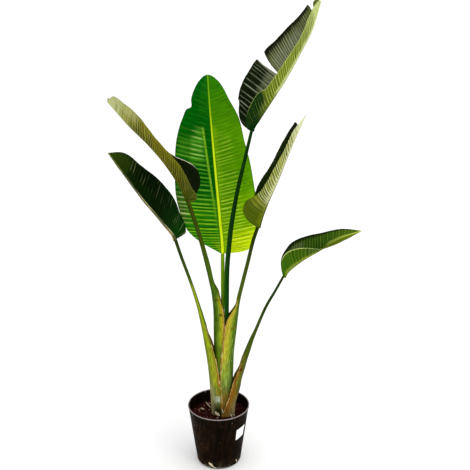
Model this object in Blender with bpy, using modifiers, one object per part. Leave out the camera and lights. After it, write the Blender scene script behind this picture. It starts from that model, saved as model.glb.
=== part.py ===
"""Potted giant white bird of paradise: six pleated leaves on clasping stalks, in a black nursery pot.

Units are metres and +Z is up. The origin is the middle of the pot's underside.
The leaves stand in one fan, in the XZ plane, the oldest outermost. The front is -Y.
"""
import math

import bmesh
import bpy
import numpy as np

# Pot
POT_HEIGHT = 0.211
RIM_RADIUS = 0.105
BASE_RADIUS = 0.0752
BEAD_HEIGHT = 0.006
BEAD_OUT = 0.0015
BEAD_CHAMFER = 0.0010
WALL = 0.0016
FLOOR_THICKNESS = 0.0030
CORNER = 0.009
POT_SIDES = 64
SLOT_COUNT = 6
SLOT_FIRST_ANGLE = math.radians(256)
SLOT_WIDTH = 0.016
SLOT_HEIGHT = 0.010
SLOT_DEPTH = 0.016
SLOT_LEVEL = 0.0095
SLOT_INWARD = 0.0045

CUTTER_EXTRA = 0.010

# Soil
SOIL_TOP = 0.178
SOIL_MOUND = 0.004
SOIL_SHOULDER = 0.045
HOLE_CENTRE_X = 0.0155
HOLE_HALF_X = 0.0420
HOLE_HALF_Y = 0.0300
HOLE_FLOOR = 0.116
HOLE_SIDES = 40
GAP = 0.0003
SOIL_GAP = 0.00042

# Label
LABEL_ANGLE = math.radians(-38)
LABEL_WIDTH = 0.038
LABEL_BOTTOM = 0.114
LABEL_HEIGHT = 0.041
LABEL_LEAN = 0.006
LABEL_THICKNESS = 0.0006
LABEL_COLUMNS = 7
LABEL_LEVELS = 3

# Leaves. The heights listed with each leaf start at a level this far above the pot's underside
LEAF_LEVEL = 0.006
BLADE_THICKNESS = 0.0009
ROW_SPACING = 0.013
PLEAT_HEIGHT = 0.0016
RIB_DEPTH = 0.0060
RIB_HALF_WIDTH = 0.0042
STALK_GAP = 0.0006
VEIN_LEAD = 0.70
VEIN_BEND = 1.35
BLADE_COLUMNS = (0.30, 0.55, 0.79, 1.0)
WALL_AT_BACK = 0.0032
WALL_AT_EDGE = 0.0011
ARC_POINTS = 8
INNER_ARC = 0.94
GROOVE_DEPTH = 0.10
PETIOLE_EDGE = 0.90
RINGS_PER_ROW = 2
BASE_HALF_WIDTH = 0.0045
TIP_HALF_WIDTH = 0.0015
RIB_TAPER = 0.85
CURVE_STEPS = 241

# Each leaf has a stalk, listed upwards from the soil in rows of height, x of its back, x of its open
# edge, y of its middle, half depth, wrap in degrees (90 is a U, 125 nearly round) and fill
# (0 is a hollow sheath, 1 is a solid petiole). Its blade has a midrib of hand-set points that goes
# on from the stalk, a face direction at the base and at the tip, and two halves, left and right as
# seen on the face with the tip up. Each half has an outline of (along, across) in metres, and its
# fold and its curl in degrees at even steps from the base to the tip. A fold turns the half towards
# the face, and the curl is the turn it gains from the midrib to the edge.
LEAVES = {
    "leaf_centre": {
        "stalk": [
            (0.1104, 0.0000, 0.0170, 0.004, 0.0100, 125, 1.0),
            (0.300, 0.0010, 0.0180, 0.004, 0.0090, 125, 1.0),
            (0.450, 0.0060, 0.0190, 0.004, 0.0070, 125, 1.0),
            (0.560, 0.0105, 0.0205, 0.006, 0.0055, 125, 1.0),
            (0.600, 0.0105, 0.0210, 0.009, 0.0055, 125, 1.0),
            (0.650, 0.0105, 0.0210, 0.020, 0.0055, 125, 1.0),
            (0.700, 0.0108, 0.0205, 0.030, 0.0050, 125, 1.0),
            (0.737, 0.0108, 0.0200, 0.036, 0.0048, 125, 1.0),
        ],
        "midrib": [(0.007, 0.055, 0.852), (-0.004, 0.075, 0.973), (-0.015, 0.090, 1.101),
                   (-0.023, 0.100, 1.202), (-0.029, 0.105, 1.304)],
        "face": ((0.05, -1.0, 0.15), (0.0, -1.0, 0.10)),
        "left": {
            "outline": [(0.014, 0.027), (0.052, 0.077), (0.091, 0.109), (0.170, 0.130), (0.270, 0.132),
                        (0.364, 0.118), (0.446, 0.088), (0.471, 0.073), (0.476, 0.060), (0.500, 0.057),
                        (0.528, 0.046), (0.558, 0.026), (0.570, 0.011)],
            "fold": (6, 2, 4), "curl": (10, -14, -10)},
        "right": {
            "outline": [(0.002, 0.030), (0.018, 0.092), (0.075, 0.118), (0.160, 0.123), (0.260, 0.116),
                        (0.353, 0.102), (0.434, 0.088), (0.489, 0.064), (0.552, 0.031), (0.569, 0.012)],
            "fold": (6, 2, 4), "curl": (10, -14, -10)},
        "wave": (0.005, 3.0, 0.6),
    },
    "leaf_upper_left": {
        "stalk": [
            (0.1104, -0.0190, 0.0070, 0.000, 0.0215, 90, 0.0),
            (0.246, -0.0170, 0.0080, 0.000, 0.0215, 90, 0.0),
            (0.372, -0.0135, 0.0130, 0.000, 0.0215, 90, 0.0),
            (0.454, -0.0121, 0.0190, -0.0008, 0.0205, 90, 0.0),
            (0.490, -0.0120, 0.0212, -0.0030, 0.0190, 90, 0.0),
            (0.526, -0.0118, 0.0215, -0.0026, 0.0188, 90, 0.0),
            (0.560, -0.0121, 0.0178, -0.0004, 0.0170, 90, 0.0),
            (0.595, -0.0145, 0.0085, -0.004, 0.0130, 90, 0.15),
            (0.622, -0.0172, 0.0040, -0.010, 0.0105, 95, 0.40),
            (0.655, -0.0225, -0.0085, -0.020, 0.0085, 110, 0.80),
            (0.717, -0.0345, -0.0185, -0.035, 0.0070, 125, 1.0),
            (0.810, -0.0545, -0.0410, -0.050, 0.0065, 125, 1.0),
            (0.878, -0.0750, -0.0622, -0.055, 0.0062, 125, 1.0),
            (0.945, -0.0950, -0.0830, -0.060, 0.0060, 125, 1.0),
        ],
        "midrib": [(-0.109, -0.070, 1.008), (-0.145, -0.088, 1.065), (-0.194, -0.114, 1.128),
                   (-0.247, -0.142, 1.191), (-0.299, -0.170, 1.262)],
        "face": ((0.75, -0.25, 0.60), (0.80, 0.10, 0.55)),
        "left": {
            "outline": [(0.004, 0.036), (0.030, 0.072), (0.080, 0.094), (0.180, 0.098), (0.290, 0.084),
                        (0.370, 0.062), (0.410, 0.040)],
            "fold": (38, 26, 34, 38, 46), "curl": (0, 0, 0)},
        "right": {
            "outline": [(0.006, 0.028), (0.026, 0.062), (0.080, 0.094), (0.180, 0.098), (0.290, 0.078),
                        (0.365, 0.044), (0.400, 0.018)],
            "fold": (46, 36, 4, -5, -4, 0, 5, 9, 12), "curl": (0, 0, 0)},
        "wave": (0.003, 2.0, 0.2),
    },
    "leaf_lower_left": {
        "stalk": [
            (0.1104, -0.0240, 0.0130, 0.000, 0.0270, 90, 0.0),
            (0.172, -0.0245, 0.0140, 0.000, 0.0270, 90, 0.0),
            (0.246, -0.0280, 0.0135, 0.000, 0.0270, 90, 0.0),
            (0.307, -0.0295, 0.0048, 0.000, 0.0270, 90, 0.0),
            (0.372, -0.0322, -0.0045, -0.001, 0.0260, 90, 0.0),
            (0.432, -0.0388, -0.0160, -0.004, 0.0200, 90, 0.0),
            (0.472, -0.0440, -0.0286, -0.007, 0.0140, 90, 0.10),
            (0.519, -0.0525, -0.0395, -0.012, 0.0100, 100, 0.45),
            (0.565, -0.0620, -0.0520, -0.016, 0.0070, 115, 0.85),
            (0.600, -0.0705, -0.0600, -0.021, 0.0060, 125, 1.0),
            (0.670, -0.0885, -0.0785, -0.030, 0.0055, 125, 1.0),
            (0.758, -0.1165, -0.1065, -0.040, 0.0052, 125, 1.0),
            (0.812, -0.1350, -0.1252, -0.045, 0.0050, 125, 1.0),
        ],
        "midrib": [(-0.166, -0.052, 0.868), (-0.226, -0.062, 0.950), (-0.278, -0.066, 1.027),
                   (-0.322, -0.066, 1.094)],
        "face": ((0.72, -0.48, 0.50), (0.62, -0.52, 0.58)),
        "left": {
            "outline": [(0.010, 0.026), (0.034, 0.058), (0.084, 0.084), (0.160, 0.088), (0.250, 0.068),
                        (0.320, 0.036)],
            "fold": (50, 46, 46, 48, 50), "curl": (0, 0, 0)},
        "right": {
            "outline": [(0.001, 0.030), (0.004, 0.055), (0.020, 0.070), (0.080, 0.084), (0.160, 0.083), (0.250, 0.064),
                        (0.320, 0.036)],
            "fold": (26, 24, 22), "curl": (6, 4, 0)},
        "wave": (0.003, 2.5, 0.0),
    },
    "leaf_top_right": {
        "stalk": [
            (0.1104, 0.0210, 0.0380, -0.004, 0.0100, 125, 1.0),
            (0.300, 0.0210, 0.0375, -0.004, 0.0090, 125, 1.0),
            (0.450, 0.0210, 0.0360, -0.004, 0.0075, 125, 1.0),
            (0.526, 0.0215, 0.0335, -0.006, 0.0065, 125, 1.0),
            (0.600, 0.0215, 0.0335, -0.010, 0.0060, 125, 1.0),
            (0.683, 0.0235, 0.0345, -0.015, 0.0055, 125, 1.0),
            (0.824, 0.0350, 0.0455, -0.030, 0.0052, 125, 1.0),
            (0.957, 0.0555, 0.0655, -0.040, 0.0050, 125, 1.0),
            (1.067, 0.0800, 0.0895, -0.045, 0.0048, 125, 1.0),
            (1.157, 0.1005, 0.1097, -0.050, 0.0048, 125, 1.0),
        ],
        "midrib": [(0.127, -0.055, 1.194), (0.161, -0.060, 1.247), (0.195, -0.065, 1.300),
                   (0.239, -0.070, 1.380), (0.273, -0.075, 1.455), (0.296, -0.080, 1.520)],
        "face": ((-0.85, -0.25, 0.46), (-0.88, -0.22, 0.42)),
        "left": {
            "outline": [(0.002, 0.035), (0.018, 0.080), (0.070, 0.118), (0.140, 0.129), (0.176, 0.126),
                        (0.168, 0.070), (0.170, 0.022), (0.184, 0.070), (0.214, 0.118), (0.262, 0.100),
                        (0.330, 0.071), (0.385, 0.051), (0.388, 0.049), (0.390, 0.044), (0.389, 0.014)],
            "fold": (34, 34, 34), "curl": (0, 0, 0)},
        "right": {
            "outline": [(0.006, 0.028), (0.026, 0.062), (0.070, 0.090), (0.128, 0.100), (0.138, 0.090),
                        (0.220, 0.094), (0.310, 0.080), (0.385, 0.046)],
            "fold": (46, 45, 42, 37, 34), "curl": (16, 6, 0, 0, 0)},
        "wave": (0.001, 2.5, 1.0),
    },
    "leaf_mid_right": {
        "stalk": [
            (0.1104, 0.0480, 0.0050, 0.000, 0.0240, 90, 0.0),
            (0.245, 0.0487, 0.0055, 0.000, 0.0240, 90, 0.0),
            (0.292, 0.0490, 0.0048, 0.000, 0.0240, 90, 0.0),
            (0.351, 0.0510, 0.0066, 0.000, 0.0240, 90, 0.0),
            (0.387, 0.0520, 0.0088, 0.000, 0.0240, 90, 0.0),
            (0.443, 0.0570, 0.0158, 0.000, 0.0228, 90, 0.0),
            (0.490, 0.0622, 0.0210, -0.003, 0.0212, 90, 0.0),
            (0.526, 0.0655, 0.0285, -0.008, 0.0180, 90, 0.0),
            (0.553, 0.0680, 0.0430, -0.014, 0.0130, 90, 0.10),
            (0.580, 0.0705, 0.0570, -0.022, 0.0090, 105, 0.60),
            (0.610, 0.0750, 0.0625, -0.027, 0.0070, 125, 1.0),
            (0.662, 0.0845, 0.0725, -0.035, 0.0065, 125, 1.0),
            (0.740, 0.1000, 0.0885, -0.045, 0.0060, 125, 1.0),
            (0.814, 0.1160, 0.1050, -0.050, 0.0056, 125, 1.0),
            (0.858, 0.1322, 0.1220, -0.055, 0.0052, 125, 1.0),
        ],
        "midrib": [(0.153, -0.063, 0.935), (0.186, -0.070, 1.016), (0.221, -0.078, 1.111),
                   (0.261, -0.084, 1.209)],
        "face": ((-0.90, -0.05, 0.40), (-0.90, 0.05, 0.38)),
        "left": {
            "outline": [(0.004, 0.032), (0.030, 0.066), (0.090, 0.085), (0.170, 0.080), (0.260, 0.062),
                        (0.335, 0.048), (0.339, 0.046), (0.340, 0.040),
                        (0.338, 0.012)],
            "fold": (26, 22, 22), "curl": (6, 0, 0)},
        "right": {
            "outline": [(0.004, 0.030), (0.022, 0.064), (0.055, 0.090), (0.094, 0.094), (0.112, 0.080),
                        (0.170, 0.080), (0.250, 0.064), (0.330, 0.034)],
            "fold": (52, 53, 46, 32, 25, 24, 24, 28, 34), "curl": (6, 4, 0)},
        "wave": (0.0015, 2.5, 2.0),
    },
    "leaf_low_right": {
        "stalk": [
            (0.1104, 0.0540, 0.0110, 0.000, 0.0288, 90, 0.0),
            (0.172, 0.0555, 0.0122, 0.000, 0.0288, 90, 0.0),
            (0.209, 0.0580, 0.0230, 0.000, 0.0286, 90, 0.0),
            (0.233, 0.0645, 0.0322, 0.000, 0.0276, 90, 0.0),
            (0.270, 0.0740, 0.0425, -0.002, 0.0255, 90, 0.0),
            (0.303, 0.0790, 0.0505, -0.005, 0.0220, 90, 0.0),
            (0.344, 0.0890, 0.0677, -0.010, 0.0160, 90, 0.0),
            (0.384, 0.0980, 0.0786, -0.016, 0.0120, 95, 0.20),
            (0.420, 0.1072, 0.0905, -0.022, 0.0090, 105, 0.60),
            (0.460, 0.1170, 0.1040, -0.030, 0.0070, 120, 1.0),
            (0.502, 0.1300, 0.1186, -0.040, 0.0062, 125, 1.0),
            (0.587, 0.1610, 0.1500, -0.050, 0.0058, 125, 1.0),
            (0.649, 0.1917, 0.1807, -0.057, 0.0055, 125, 1.0),
            (0.696, 0.2142, 0.2036, -0.060, 0.0052, 125, 1.0),
        ],
        "midrib": [(0.256, -0.070, 0.748), (0.325, -0.080, 0.796), (0.378, -0.085, 0.832),
                   (0.441, -0.090, 0.857)],
        "face": ((-0.60, -0.10, 0.80), (-0.50, -0.45, 0.78)),
        "left": {
            "outline": [(0.010, 0.022), (0.030, 0.050), (0.070, 0.067), (0.130, 0.061), (0.200, 0.038),
                        (0.250, 0.020)],
            "fold": (44, 36, 20), "curl": (0, 0, 0)},
        "right": {
            "outline": [(0.014, 0.018), (0.036, 0.046), (0.070, 0.064), (0.130, 0.058), (0.200, 0.027),
                        (0.250, 0.014)],
            "fold": (80, 78, 66, 32, 8, 4), "curl": (6, 0, 0)},
        "wave": (0.0005, 2.0, 0.0),
    },
}

# Finishes
LEAF_GREEN = (0.060, 0.130, 0.018, 1.0)
LEAF_ROUGHNESS = 0.45
STALK_GREEN = (0.085, 0.130, 0.022, 1.0)
STALK_ROUGHNESS = 0.50
POT_BLACK = (0.012, 0.011, 0.010, 1.0)
POT_ROUGHNESS = 0.40
SOIL_BROWN = (0.030, 0.014, 0.010, 1.0)
SOIL_ROUGHNESS = 0.95
LABEL_WHITE = (0.80, 0.80, 0.78, 1.0)
LABEL_ROUGHNESS = 0.55


def clear_scene():
    """Remove every object of the open scene."""
    for old in list(bpy.data.objects):
        bpy.data.objects.remove(old, do_unlink=True)


def new_collection(name):
    """A collection that is linked to the scene."""
    collection = bpy.data.collections.new(name)
    bpy.context.scene.collection.children.link(collection)
    return collection


def plain_material(name, colour, roughness):
    """A Principled material of one colour."""
    material = bpy.data.materials.new(name)
    material.use_nodes = True
    shader = material.node_tree.nodes["Principled BSDF"]
    shader.inputs["Base Color"].default_value = colour
    shader.inputs["Roughness"].default_value = roughness
    shader.inputs["Metallic"].default_value = 0.0
    return material


def mesh_object(name, points, faces, collection, material):
    """An object from an array of points and a list of faces."""
    mesh = bpy.data.meshes.new(name)
    mesh.from_pydata(points.tolist(), [], faces)
    mesh.update()
    obj = bpy.data.objects.new(name, mesh)
    collection.objects.link(obj)
    if material is not None:
        mesh.materials.append(material)
    mesh.shade_smooth()
    return obj


def unit(vectors):
    """Vectors of length one along the last axis."""
    return vectors / np.linalg.norm(vectors, axis=-1, keepdims=True)


def column(values):
    """A one-dimensional array turned into a column."""
    return np.asarray(values, float)[:, None]


def smooth_curve(points, where, start_slope=None):
    """Cubic curve through the points; where runs from 0 to 1 by distance along the chords."""
    points = np.asarray(points, float)
    steps = np.linalg.norm(np.diff(points, axis=0), axis=1)
    knots = np.concatenate([[0.0], np.cumsum(steps)])
    chords = np.diff(points, axis=0) / column(steps)
    slopes = np.empty_like(points)
    weight = column(steps[:-1] / (steps[:-1] + steps[1:]))
    slopes[1:-1] = chords[:-1] * (1 - weight) + chords[1:] * weight
    slopes[0] = chords[0] if start_slope is None else start_slope
    slopes[-1] = chords[-1]
    at = np.clip(np.asarray(where, float), 0.0, 1.0) * knots[-1]
    span = np.clip(np.searchsorted(knots, at, side="right") - 1, 0, len(steps) - 1)
    length = column(steps[span])
    t = column(at - knots[span]) / length
    start, end = points[span], points[span + 1]
    return (start * (2 * t**3 - 3 * t**2 + 1) + slopes[span] * length * (t**3 - 2 * t**2 + t)
            + end * (3 * t**2 - 2 * t**3) + slopes[span + 1] * length * (t**3 - t**2))


def smooth_table(heights, rows):
    """Columns of a table read at given heights, by cubic steps that never pass the table's values."""
    rows = np.asarray(rows, float)
    z, values = rows[:, 0], rows[:, 1:]
    step = column(np.diff(z))
    rise = np.diff(values, axis=0) / step
    slopes = np.zeros_like(values)
    product = rise[:-1] * rise[1:]
    total = np.where(rise[:-1] + rise[1:] == 0, 1.0, rise[:-1] + rise[1:])
    slopes[1:-1] = np.where(product > 0, 2 * product / total, 0.0)
    slopes[0], slopes[-1] = rise[0], rise[-1]
    span = np.clip(np.searchsorted(z, heights, side="right") - 1, 0, len(z) - 2)
    length = step[span]
    t = column(heights - z[span]) / length
    return (values[span] * (2 * t**3 - 3 * t**2 + 1) + slopes[span] * length * (t**3 - 2 * t**2 + t)
            + values[span + 1] * (3 * t**2 - 2 * t**3) + slopes[span + 1] * length * (t**3 - t**2))


def stalk_slope(leaf):
    """Direction of the stalk's middle line at its top."""
    top = leaf["stalk"][-1][0]
    low, high = smooth_table(np.array([top - 0.004, top]), leaf["stalk"])
    rise = np.array([(high[0] + high[1] - low[0] - low[1]) / 2, high[2] - low[2], 0.004])
    return unit(rise)


def stalk_rings(leaf, count):
    """Rings of the stalk: a half ellipse outside, and inside it the sheath's wall or a solid fill."""
    table = leaf["stalk"]
    heights = np.linspace(table[0][0], table[-1][0], count)
    back, edge, middle, depth, wrap, fill = smooth_table(heights, table).T
    wrap = np.radians(wrap)
    centres = np.stack([(back + edge) / 2, middle, heights], axis=1)
    along = unit(np.gradient(centres, axis=0))
    along[-1] = stalk_slope(leaf)
    upward = np.array([0.0, 0.0, 1.0])
    axis = unit(upward * column(1 - fill) + along * column(fill))
    outward = np.array([np.sign(table[0][1] - table[0][2]), 0.0, 0.0])
    across = unit(outward - axis * (axis @ outward)[:, None])
    sideways = np.cross(axis, across)
    width = np.abs(back - edge)
    reach = 1 - np.cos(wrap)
    turn = np.linspace(-1, 1, ARC_POINTS)
    outer_turn = column(wrap) * turn
    inner_turn = column(wrap) * turn[::-1] * INNER_ARC
    outer_x = column(width / 2) - column(width) * (1 - np.cos(outer_turn)) / column(reach)
    outer_y = column(depth) * np.sin(outer_turn)
    shell_width = column(width - WALL_AT_BACK)
    shell_x = column(width / 2 - WALL_AT_BACK) - shell_width * (1 - np.cos(inner_turn)) / column(reach)
    shell_y = column(depth - WALL_AT_EDGE) * np.sin(inner_turn)
    groove = column(GROOVE_DEPTH * width) * np.cos(turn[::-1] * math.pi / 2)
    solid_x = groove - column(width / 2)
    solid_y = column(depth * np.sin(wrap)) * turn[::-1] * PETIOLE_EDGE
    inner_x = shell_x + (solid_x - shell_x) * column(fill)
    inner_y = shell_y + (solid_y - shell_y) * column(fill)
    ring_x = np.concatenate([outer_x, inner_x], axis=1)[:, :, None]
    ring_y = np.concatenate([outer_y, inner_y], axis=1)[:, :, None]
    rings = centres[:, None, :] + ring_x * across[:, None, :] + ring_y * sideways[:, None, :]
    return rings + np.array([0.0, 0.0, LEAF_LEVEL])


def ring_faces(rings, sides):
    """Triangles between stacked rings, and strips that close both ends of a two-sided ring."""
    faces = []
    for ring in range(rings - 1):
        for side in range(sides):
            a = ring * sides + side
            b = ring * sides + (side + 1) % sides
            faces.append((a, b, b + sides))
            faces.append((a, b + sides, a + sides))
    for base in (0, (rings - 1) * sides):
        for step in range(sides // 2 - 1):
            a, b = base + step, base + step + 1
            c, d = base + sides - 2 - step, base + sides - 1 - step
            quad = (a, b, c, d) if base else (d, c, b, a)
            faces.append(quad[:3])
            faces.append((quad[0], quad[2], quad[3]))
    return faces


def make_stalk(name, leaf, collection, material):
    """One stalk: a clasping sheath below that closes into a solid petiole."""
    count = RINGS_PER_ROW * len(leaf["stalk"])
    rings = stalk_rings(leaf, count)
    sides = rings.shape[1]
    obj = mesh_object(name, rings.reshape(-1, 3), ring_faces(count, sides), collection, material)
    face_out(obj)
    return obj


def face_out(obj):
    """Turn the faces of a closed mesh outwards."""
    edit = bmesh.new()
    edit.from_mesh(obj.data)
    bmesh.ops.recalc_face_normals(edit, faces=edit.faces)
    edit.to_mesh(obj.data)
    edit.free()


def along_blade(values, share):
    """A value read along the blade from values evenly spaced between its base and its tip."""
    return np.interp(share, np.linspace(0.0, 1.0, len(values)), values)


def midrib_start(leaf):
    """Point where the blade starts, a hair beyond the top of the stalk."""
    z, back, edge, middle = leaf["stalk"][-1][:4]
    return tuple(np.array([(back + edge) / 2, middle, z]) + stalk_slope(leaf) * STALK_GAP)


def midrib_curve(leaf):
    """Fine points of the midrib and the distance travelled along it at each."""
    points = [midrib_start(leaf)] + leaf["midrib"]
    fine = smooth_curve(points, np.linspace(0, 1, CURVE_STEPS), stalk_slope(leaf))
    steps = np.linalg.norm(np.diff(fine, axis=0), axis=1)
    return fine, np.concatenate([[0.0], np.cumsum(steps)])


def blade_frame(leaf, along):
    """Midrib point, face direction and right-hand direction at distances along the flat blade."""
    fine, travelled = midrib_curve(leaf)
    length = travelled[-1]
    share = np.clip(along / length, 0.0, 1.0)
    tangents = unit(np.gradient(fine, travelled, axis=0))
    inside = np.clip(along, 0.0, length)
    point = np.stack([np.interp(inside, travelled, fine[:, k]) for k in range(3)], axis=-1)
    tangent = unit(np.stack([np.interp(inside, travelled, tangents[:, k]) for k in range(3)], axis=-1))
    point = point + tangent * (along - inside)[..., None] + np.array([0.0, 0.0, LEAF_LEVEL])
    base, tip = np.array(leaf["face"][0]), np.array(leaf["face"][1])
    hint = base + (tip - base) * share[..., None]
    face = unit(hint - tangent * np.sum(hint * tangent, axis=-1, keepdims=True))
    return point, face, np.cross(tangent, face), share


def blade_length(leaf):
    """Length of the midrib."""
    return float(midrib_curve(leaf)[1][-1])


def flat_half(leaf, half, rows, columns):
    """Flat grid of half a blade: veins leave the midrib and bend forward to the outline."""
    length = blade_length(leaf)
    outline = [(0.0, BASE_HALF_WIDTH)] + half["outline"] + [(length, TIP_HALF_WIDTH)]
    share = np.linspace(0.0, 1.0, rows)
    edge = smooth_curve(outline, share ** VEIN_LEAD)
    rib_at = share * length
    across = np.asarray(columns)[None, :] * edge[:, 1:2]
    forward = np.asarray(columns)[None, :] ** VEIN_BEND
    along = rib_at[:, None] + (edge[:, :1] - rib_at[:, None]) * forward
    return along, across


def bend_half(leaf, half, side, along, across, lift):
    """Bend a flat half to its place: a fold at the midrib, and a curl that grows towards the edge."""
    point, face, right, share = blade_frame(leaf, along)
    fold = np.radians(along_blade(half["fold"], share))
    widest = max(reach for _, reach in half["outline"])
    curl = np.radians(along_blade(half["curl"], share)) / widest
    curl = np.where(np.abs(curl) < 1e-3, 1e-3, curl)
    end = fold + curl * across
    out = (np.sin(end) - np.sin(fold)) / curl
    up = (np.cos(fold) - np.cos(end)) / curl
    normal = face * np.cos(end)[..., None] - right * (side * np.sin(end))[..., None]
    return point + right * (side * out)[..., None] + face * up[..., None] + normal * lift[..., None]


def blade_columns(leaf):
    """Places of the grid's columns: the midrib, the edge of its rib and the rest of the half."""
    widest = max(reach for _, reach in leaf["left"]["outline"])
    rib = RIB_HALF_WIDTH / widest
    return (0.0, rib) + BLADE_COLUMNS


def half_points(leaf, side, rows):
    """World points of one half of a blade, with its pleats and the slow wave of its edge."""
    half = leaf["left"] if side < 0 else leaf["right"]
    columns = blade_columns(leaf)
    along, across = flat_half(leaf, half, rows, columns)
    place = np.asarray(columns)[None, :]
    share = np.linspace(0, 1, rows)[:, None]
    zigzag = np.where(np.arange(rows) % 2 == 0, 1.0, -1.0)[:, None]
    swell = np.clip(place * 3.0, 0, 1) * np.clip(np.sin(math.pi * share) * 3.0, 0, 1)
    height, turns, phase = leaf["wave"]
    wave = height * place**2 * np.sin(2 * math.pi * (turns * share + phase + 0.25 * side))
    lift = PLEAT_HEIGHT * zigzag * swell + wave * np.clip(np.sin(math.pi * share) * 2.0, 0, 1)
    return bend_half(leaf, half, side, along, across, lift)


def make_blade(name, leaf, collection, material):
    """One blade: both halves in one sheet, given thickness, with the midrib standing out behind."""
    rows = int(round(blade_length(leaf) / ROW_SPACING))
    left = half_points(leaf, -1, rows)
    right = half_points(leaf, 1, rows)
    sheet = np.concatenate([left[:, :0:-1], right], axis=1)
    width = sheet.shape[1]
    middle = width // 2
    faces = []
    for row in range(rows - 1):
        for step in range(width - 1):
            a = row * width + step
            b, c, d = a + 1, a + width + 1, a + width
            faces.extend([(a, b, c), (a, c, d)] if step >= middle else [(a, b, d), (b, c, d)])
    obj = mesh_object(name, sheet.reshape(-1, 3), faces, collection, material)
    rib = obj.vertex_groups.new(name="rib")
    for row in range(rows):
        taper = 1.0 - RIB_TAPER * row / (rows - 1)
        rib.add([row * width + middle], taper, "REPLACE")
    solid = obj.modifiers.new("thickness", "SOLIDIFY")
    solid.thickness = RIB_DEPTH
    solid.offset = -1.0
    solid.vertex_group = "rib"
    solid.thickness_vertex_group = BLADE_THICKNESS / RIB_DEPTH
    return obj


def turned(name, profile, collection, material):
    """A turned piece from a profile of (radius, height), listed from the top down its outside."""
    points = np.array([(radius, 0.0, height) for radius, height in profile])
    mesh = bpy.data.meshes.new(name)
    edges = [(k, k + 1) for k in range(len(profile) - 1)]
    mesh.from_pydata(points.tolist(), edges, [])
    obj = bpy.data.objects.new(name, mesh)
    collection.objects.link(obj)
    screw = obj.modifiers.new("turn", "SCREW")
    screw.steps = POT_SIDES
    screw.render_steps = POT_SIDES
    screw.use_merge_vertices = True
    screw.merge_threshold = 0.00005
    mesh.materials.append(material)
    return obj


def wall_radius(height):
    """Outer radius of the pot's wall at a height."""
    return BASE_RADIUS + (RIM_RADIUS - BEAD_OUT - BASE_RADIUS) * height / POT_HEIGHT


def inner_radius(height):
    """Inner radius of the pot's wall at a height."""
    return wall_radius(height) - WALL


def soil_radius(height):
    """Outer radius of the soil at a height."""
    return inner_radius(height) - SOIL_GAP


def corner_profile(radius_at, shrink, low):
    """The rounded corner where wall and floor meet, as points from the wall down to the floor."""
    size = CORNER - shrink
    steps = [math.radians(angle) for angle in (0, 30, 60, 90)]
    centre = radius_at(CORNER) - size
    return [(centre + size * math.cos(a), low + size - size * math.sin(a)) for a in steps]


def make_pot(collection, cutters, material):
    """The pot: a thin tapered shell with a bead round its rim and drain slots in the lower corner."""
    bead = POT_HEIGHT - BEAD_HEIGHT
    outside = [(0.0, POT_HEIGHT), (RIM_RADIUS - BEAD_CHAMFER, POT_HEIGHT),
               (RIM_RADIUS, POT_HEIGHT - BEAD_CHAMFER), (RIM_RADIUS, bead + BEAD_CHAMFER),
               (wall_radius(bead), bead)]
    outside += corner_profile(wall_radius, 0.0, 0.0) + [(0.0, 0.0)]
    above = POT_HEIGHT + CUTTER_EXTRA
    inside = [(0.0, above), (inner_radius(above), above)]
    inside += corner_profile(inner_radius, WALL, FLOOR_THICKNESS) + [(0.0, FLOOR_THICKNESS)]
    pot = turned("pot", outside, collection, material)
    hollow = turned("pot_hollow", inside, cutters, material)
    cut(pot, hollow, "hollow")
    for number in range(SLOT_COUNT):
        slot = drain_slot(number, cutters)
        cut(pot, slot, f"slot_{number + 1}")
    return pot


def drain_slot(number, cutters):
    """A box that cuts one drain slot through the lower corner of the pot."""
    angle = SLOT_FIRST_ANGLE + 2 * math.pi * number / SLOT_COUNT
    reach = wall_radius(CORNER) - SLOT_INWARD
    bpy.ops.mesh.primitive_cube_add(size=1.0)
    box = bpy.context.object
    box.name = f"slot_cutter_{number + 1}"
    box.scale = (SLOT_DEPTH, SLOT_WIDTH, SLOT_HEIGHT)
    box.rotation_euler = (0.0, 0.0, angle)
    box.location = (reach * math.cos(angle), reach * math.sin(angle), SLOT_LEVEL)
    move_to(box, cutters)
    return box


def move_to(obj, collection):
    """Keep an object in one collection only."""
    for old in list(obj.users_collection):
        old.objects.unlink(obj)
    collection.objects.link(obj)


def cut(obj, cutter, name):
    """Cut one object by another, which is then a guide only."""
    boolean = obj.modifiers.new(name, "BOOLEAN")
    boolean.object = cutter
    boolean.operation = "DIFFERENCE"
    boolean.solver = "EXACT"
    cutter.hide_render = True
    cutter.display_type = "WIRE"


def make_soil(collection, cutters, material):
    """The soil: it fills the pot, rises a little in the middle and has one hole for the stalks."""
    low = FLOOR_THICKNESS + GAP
    edge = SOIL_TOP - SOIL_MOUND
    profile = [(0.0, SOIL_TOP + SOIL_MOUND), (SOIL_SHOULDER, SOIL_TOP + SOIL_MOUND / 2)]
    profile += [(soil_radius(edge), edge)] + corner_profile(soil_radius, WALL, low) + [(0.0, low)]
    soil = turned("soil", profile, collection, material)
    bpy.ops.mesh.primitive_cylinder_add(vertices=HOLE_SIDES, radius=1.0, depth=1.0)
    hole = bpy.context.object
    hole.name = "stalk_hole"
    tall = POT_HEIGHT - HOLE_FLOOR
    hole.scale = (HOLE_HALF_X, HOLE_HALF_Y, tall)
    hole.location = (HOLE_CENTRE_X, 0.0, HOLE_FLOOR + tall / 2)
    move_to(hole, cutters)
    cut(soil, hole, "hole")
    return soil


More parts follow.
